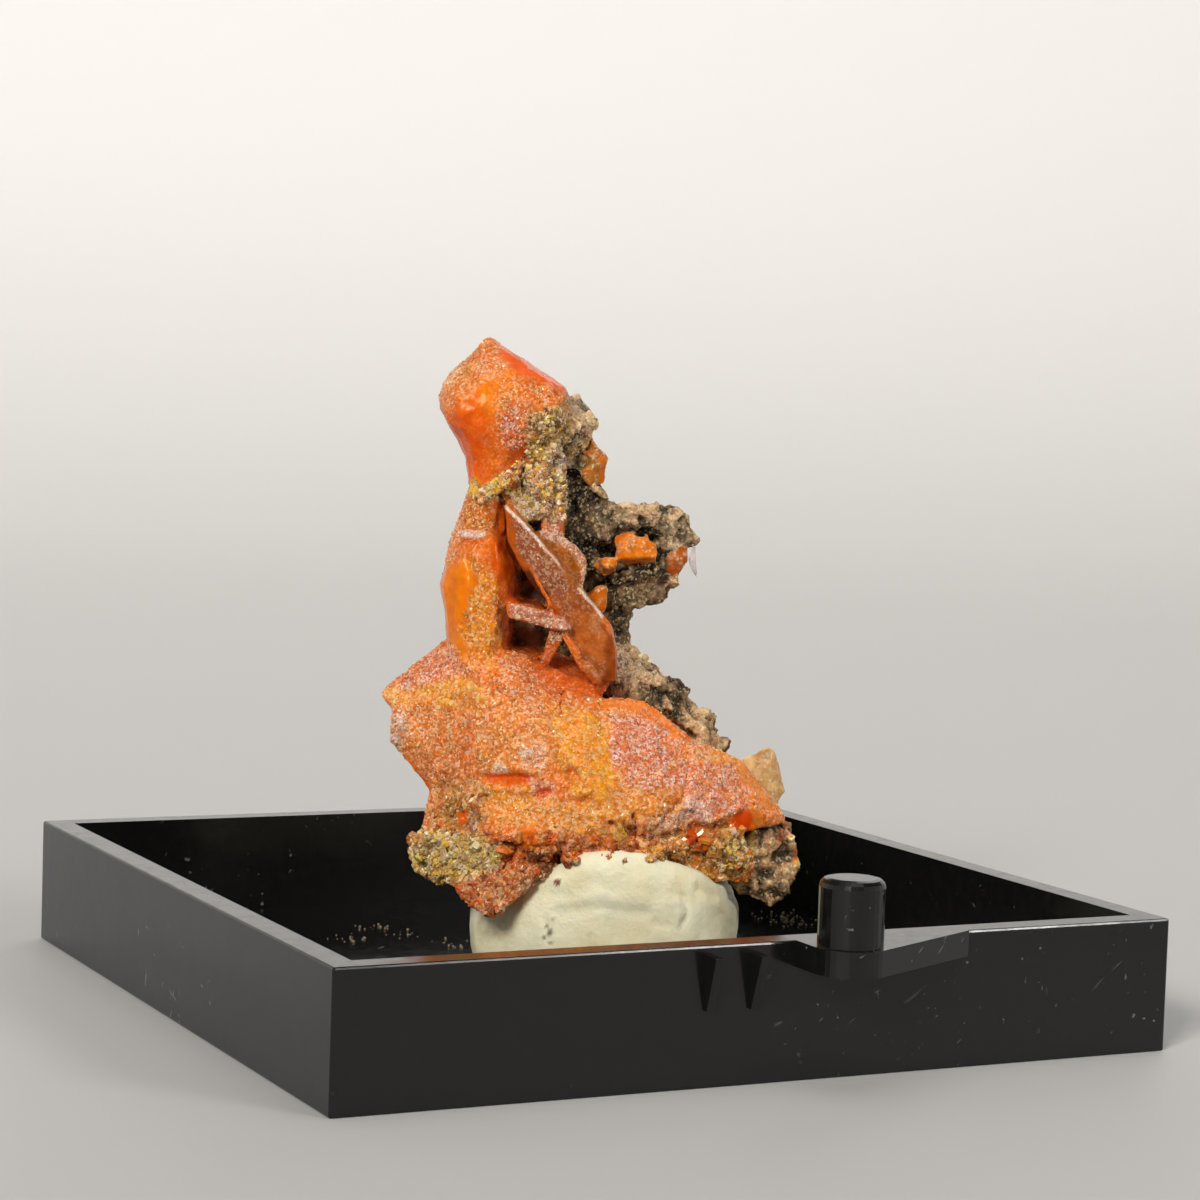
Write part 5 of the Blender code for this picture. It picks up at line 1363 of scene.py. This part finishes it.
# Lone crystals: slot, material and two tints of each node
LONE = {
    "tan_crystal_block": ("tan_crystal", TAN, (232, 190, 140), (204, 150, 98)),
    "head_side_crystal": ("wulfenite", WULFENITE, (216, 108, 20), (160, 98, 44)),
    "arm_plate_crystal": ("wulfenite", WULFENITE, (240, 130, 26), (206, 98, 24)),
    "stem_crystal": ("wulfenite", WULFENITE, (210, 108, 20), (176, 90, 34)),
    "arm_tip_crystal": ("wulfenite", WULFENITE, (186, 88, 44), (160, 76, 36)),
    "arm_tip_sliver": ("white_crystal", PALE, (206, 196, 200), (196, 180, 178)),
}
# The pale of frosted patches on lone crystals, and of a painted rim highlight where they turn from the
# front
RIM_TINT = linear((240, 206, 160))
# Those whose outlines on the drawing are sharper than their solids, and how these are laid
LONE_FACE, LONE_THICKNESS, LONE_BEVEL = (0.1, -0.99, 0.15), 0.8, 0.07
LONE_OUTLINES = {
    "arm_plate_crystal": [
        [(617, 560), (618, 547), (624, 541), (640, 539), (653, 541), (658, 549), (657, 558)],
        [(600, 560), (604, 556), (617, 558), (617, 567), (608, 570), (603, 567)],
    ],
    "stem_crystal": [
        [(586, 596), (594, 588), (600, 584), (608, 586), (608, 600), (604, 614), (591, 609)],
    ],
}


def lone_piece(node):
    slot, material, first, second = LONE[node]
    points, faces = arrays(nodes[node])
    if node in LONE_OUTLINES:
        front = points.mean(0)
        front[1] = points[:, 1].min() - 0.1
        points, faces = joined([
            slab(outline, front, LONE_FACE, LONE_THICKNESS, LONE_BEVEL)
            for outline in LONE_OUTLINES[node]
        ])
    surface = Surface(remeshed(node + "_form", points, faces, LONE_VOXEL))
    surface.smooth(2)
    surface.reach(rock_tree, near=0.3, far=0.42, into=0.08)
    points = surface.points
    surface.push(rough_noise(points, 0.5, seed=161) * 0.03 + facets(points, 0.3, seed=10) * 0.02)
    tint = mixed(linear(first), linear(second), blotches(points, 0.5, 0.9, seed=171))
    # Pale frosted patches, and a painted rim highlight: paler where the surface turns away from the front
    rim = smoothstep(0.3, 0.8, rough_noise(points, 0.3, 3, seed=181) + 0.35)
    rim = np.maximum(rim, smoothstep(0.75, 0.2, surface.facing)) * (surface.facing > -0.3)
    marks = np.stack([rim * 0.7, rim * 0.3, np.zeros(len(points))], 1)
    mark(surface.mesh, mixed(tint, RIM_TINT, rim * 0.25), marks)
    finish_piece(surface.obj, node, material)


for node in LONE:
    lone_piece(node)


# How far the putty's crown rises in front of the specimen: place across the drawing, height
PUTTY_CROWN = [
    (470, 0.0), (500, 0.15), (520, 0.4), (540, 0.65), (560, 0.9), (580, 1.15), (605, 1.3),
    (625, 1.3), (645, 1.2), (665, 1.0), (685, 0.85), (705, 0.7), (722, 0.4), (740, 0.0),
]
# Dirt on the putty: a brown dot and dark smudges, and a painted shadow below the crystals' foot
PUTTY_ZONES = [
    ((557, 882, 3.2, 3.2), 0.8, 1, (140, 76, 44), (120, 60, 36), 0, 0, 0),
    ((549, 933, 2.6, 3.4), 1.5, 0.9, (92, 84, 66), (110, 100, 80), 0, 0, 0),
    ((546, 926, 1.8, 2.2), 1.2, 0.8, (104, 96, 76), (120, 110, 86), 0, 0, 0),
    ((553, 921, 2.6, 1.6), 1.2, 0.7, (120, 110, 86), (130, 118, 92), 0, 0, 0),
    ((544, 938, 2, 2), 1.2, 0.8, (96, 88, 70), (110, 100, 80), 0, 0, 0),
    ((551, 942, 3, 1.4), 1.2, 0.8, (100, 92, 72), (120, 108, 84), 0, 0, 0),
    ((590, 934, 3, 1.2), 1.5, 0.5, (150, 138, 104), (160, 146, 110), 0, 0, 0),
    # painted shadow below the crystals' foot
    ((490, 926, 14, 14), 9, 0.55, (150, 138, 104), (170, 156, 118), 0, 0, 0),
]
# Dents and finger marks: line, half width, height
PUTTY_STROKES = [
    ([(557, 882), (557.5, 882)], 3.2, 0.07),
    ([(684, 896), (690, 910), (684, 926)], 4, -0.1),
    ([(676, 900), (680, 916)], 3, 0.05),
    ([(656, 924), (670, 926)], 4, -0.06),
    ([(560, 902), (600, 896), (640, 900)], 6, 0.04),
    ([(556, 912), (600, 908), (650, 914)], 4, -0.05),
    ([(700, 890), (716, 896)], 5, -0.06),
    ([(546, 920), (548, 942)], 3, -0.06),
    ([(720, 912), (732, 928)], 3, -0.06),
]


PUTTY_TINTS = linear((255, 250, 218)), linear((248, 237, 196))


def putty_piece():
    surface = Surface(remeshed("putty_lump", *arrays(nodes["putty"]), PUTTY_VOXEL))
    surface.smooth(8)
    points = surface.points
    high = smoothstep(2.4, 4.5, points[:, 2])
    front = smoothstep(1.5, -4.2, points[:, 1])
    raised = np.interp(surface.place[:, 0], *np.array(PUTTY_CROWN).T)
    points[:, 2] += raised * high * (0.5 + 0.5 * front)
    points[:, 1] -= 0.4 * high * front * raised
    foot = 1 - smoothstep(1.3, 1.9, points[:, 2])
    points[:, 2] = np.maximum(points[:, 2] - foot * 0.3, TRAY_FLOOR)
    surface.update()
    surface.smooth(4)
    points = surface.points
    side = smoothstep(1.2, 2.0, points[:, 2])
    surface.push(rough_noise(points, 2.4, 3, seed=191) * 0.1 * side)
    front = smoothstep(0.0, 0.35, surface.facing)
    drift = rough_noise(points, 0.6, 3, seed=211)[:, None] * 2.0
    for line, wide, height in PUTTY_STROKES:
        distance = from_line(surface.place + drift, line)
        surface.push(height * np.exp(-(distance / wide) ** 2) * front)
    tint = mixed(*PUTTY_TINTS, blotches(points, 1.5, 0.7, 3, seed=201))
    colour_in(surface.mesh, paint(surface, PUTTY_ZONES, tint, (0.0, 0.0, 0.0), False)[0])
    finish_piece(surface.obj, "putty", PUTTY)


putty_piece()

# Heaps of crumbs on the tray's floor, in the row frame: places, how many in each, how far they
# spread, and how far they sink in
CRUMBS_EACH, CRUMB_SPREAD, CRUMB_SINK = 14, 0.6, 0.02
CRUMBS = [
    (-6.3, 7.3), (-3.8, 7.65), (-2.3, 5.0), (-4.0, 9.3), (13.1, 7.35), (12.95, 6.4),
    (14.0, 7.1), (13.5, 5.8), (12.6, 5.3),
]


def crumbs_piece():
    dice = np.random.default_rng(221)
    solids = []
    for x, y in CRUMBS:
        for _ in range(CRUMBS_EACH):
            radius = dice.uniform(0.02, 0.07)
            spread = dice.normal(size=2) * CRUMB_SPREAD
            points, faces = ball(radius, 1)
            points *= dice.uniform(0.7, 1.15, (len(points), 1)) * dice.uniform(0.7, 1.2, 3)
            points += (x + spread[0], y + spread[1], TRAY_FLOOR - CRUMB_SINK - points[:, 2].min())
            solids.append((points, faces))
    points, faces = joined(solids)
    obj = new_object("crumbs", to_mesh("crumbs", specimen_from_row(points), faces))
    tint = np.tile(linear((150, 136, 116)), (len(points), 1))
    mark(obj.data, tint, np.tile((0.3, 0.3, 0.6), (len(points), 1)))
    finish_piece(obj, None, MATRIX, smooth=False)


crumbs_piece()

box = nodes["box_base"]
box.data.materials.clear()
box.data.materials.append(PLASTIC)


# Studio, in metres

# Radius and height of the floor's rings, and how many corners a ring has
FLOOR = [(0.0, 0.0), (0.2, 0.0), (0.26, 0.006), (0.31, 0.03), (0.34, 0.07), (0.35, 0.16)]
FLOOR_SIDES = 64
AIM = Vector((0, 0, 0.012))
# Place, width and height, watts, colour
LIGHTS = [
    ("key", (-0.70, -0.56, 0.46), (0.3, 0.4), 11.4, (1.0, 0.97, 0.92)),
    ("fill", (0.52, -0.80, 0.34), (0.3, 0.34), 10.5, (1.0, 0.98, 0.95)),
    ("top", (0.10, 0.10, 1.00), (0.7, 0.7), 1.9, (1.0, 0.99, 0.97)),
    ("rim", (0.66, 0.66, 0.60), (0.3, 0.5), 0.7, (1.0, 0.98, 0.95)),
]
WORLD_LIGHT = 0.09


def studio():
    floor = bmesh.new()
    rows = []
    for radius, height in FLOOR:
        rows.append([
            floor.verts.new((radius * math.cos(t), radius * math.sin(t), height))
            for t in np.linspace(0, 2 * math.pi, FLOOR_SIDES, endpoint=False)
        ] if radius else [floor.verts.new((0, 0, 0))])
    for low, high in zip(rows, rows[1:]):
        for i in range(FLOOR_SIDES):
            j = (i + 1) % FLOOR_SIDES
            if len(low) == 1:
                floor.faces.new((low[0], high[i], high[j]))
            else:
                floor.faces.new((low[i], high[i], high[j], low[j]))
    mesh = bpy.data.meshes.new("floor")
    floor.to_mesh(mesh)
    floor.free()
    mesh.shade_smooth()
    obj = new_object("floor", mesh)
    material, tree, shader = new_material("floor")
    feed(tree, shader, {"Base Color": (0.66, 0.65, 0.64, 1), "Roughness": 0.6})
    mesh.materials.append(material)

    world = bpy.data.worlds.new("studio")
    world.use_nodes = True
    backdrop = world.node_tree.nodes["Background"]
    feed(world.node_tree, backdrop, {"Color": (1.0, 0.98, 0.95, 1), "Strength": WORLD_LIGHT})
    bpy.context.scene.world = world
    bpy.context.scene.view_settings.view_transform = "Standard"

    for name, place, size, watts, colour in LIGHTS:
        light = bpy.data.lights.new(name, "AREA")
        light.shape = "RECTANGLE"
        light.size, light.size_y = size
        light.energy = watts
        light.color = colour
        lamp = new_object(name, light)
        lamp.location = place
        lamp.rotation_euler = (AIM - Vector(place)).to_track_quat("-Z", "Y").to_euler()


def camera():
    lens = bpy.data.cameras.new("camera")
    lens.lens = LENS
    lens.sensor_width = SENSOR
    lens.clip_start = 0.005
    obj = new_object("camera", lens)
    right, up, ahead = camera_axes()
    place = Vector(CAMERA_MM) * MM
    obj.matrix_world = Matrix((
        (right.x, up.x, -ahead.x, place.x),
        (right.y, up.y, -ahead.y, place.y),
        (right.z, up.z, -ahead.z, place.z),
        (0, 0, 0, 1),
    ))
    bpy.context.scene.camera = obj


studio()
camera()
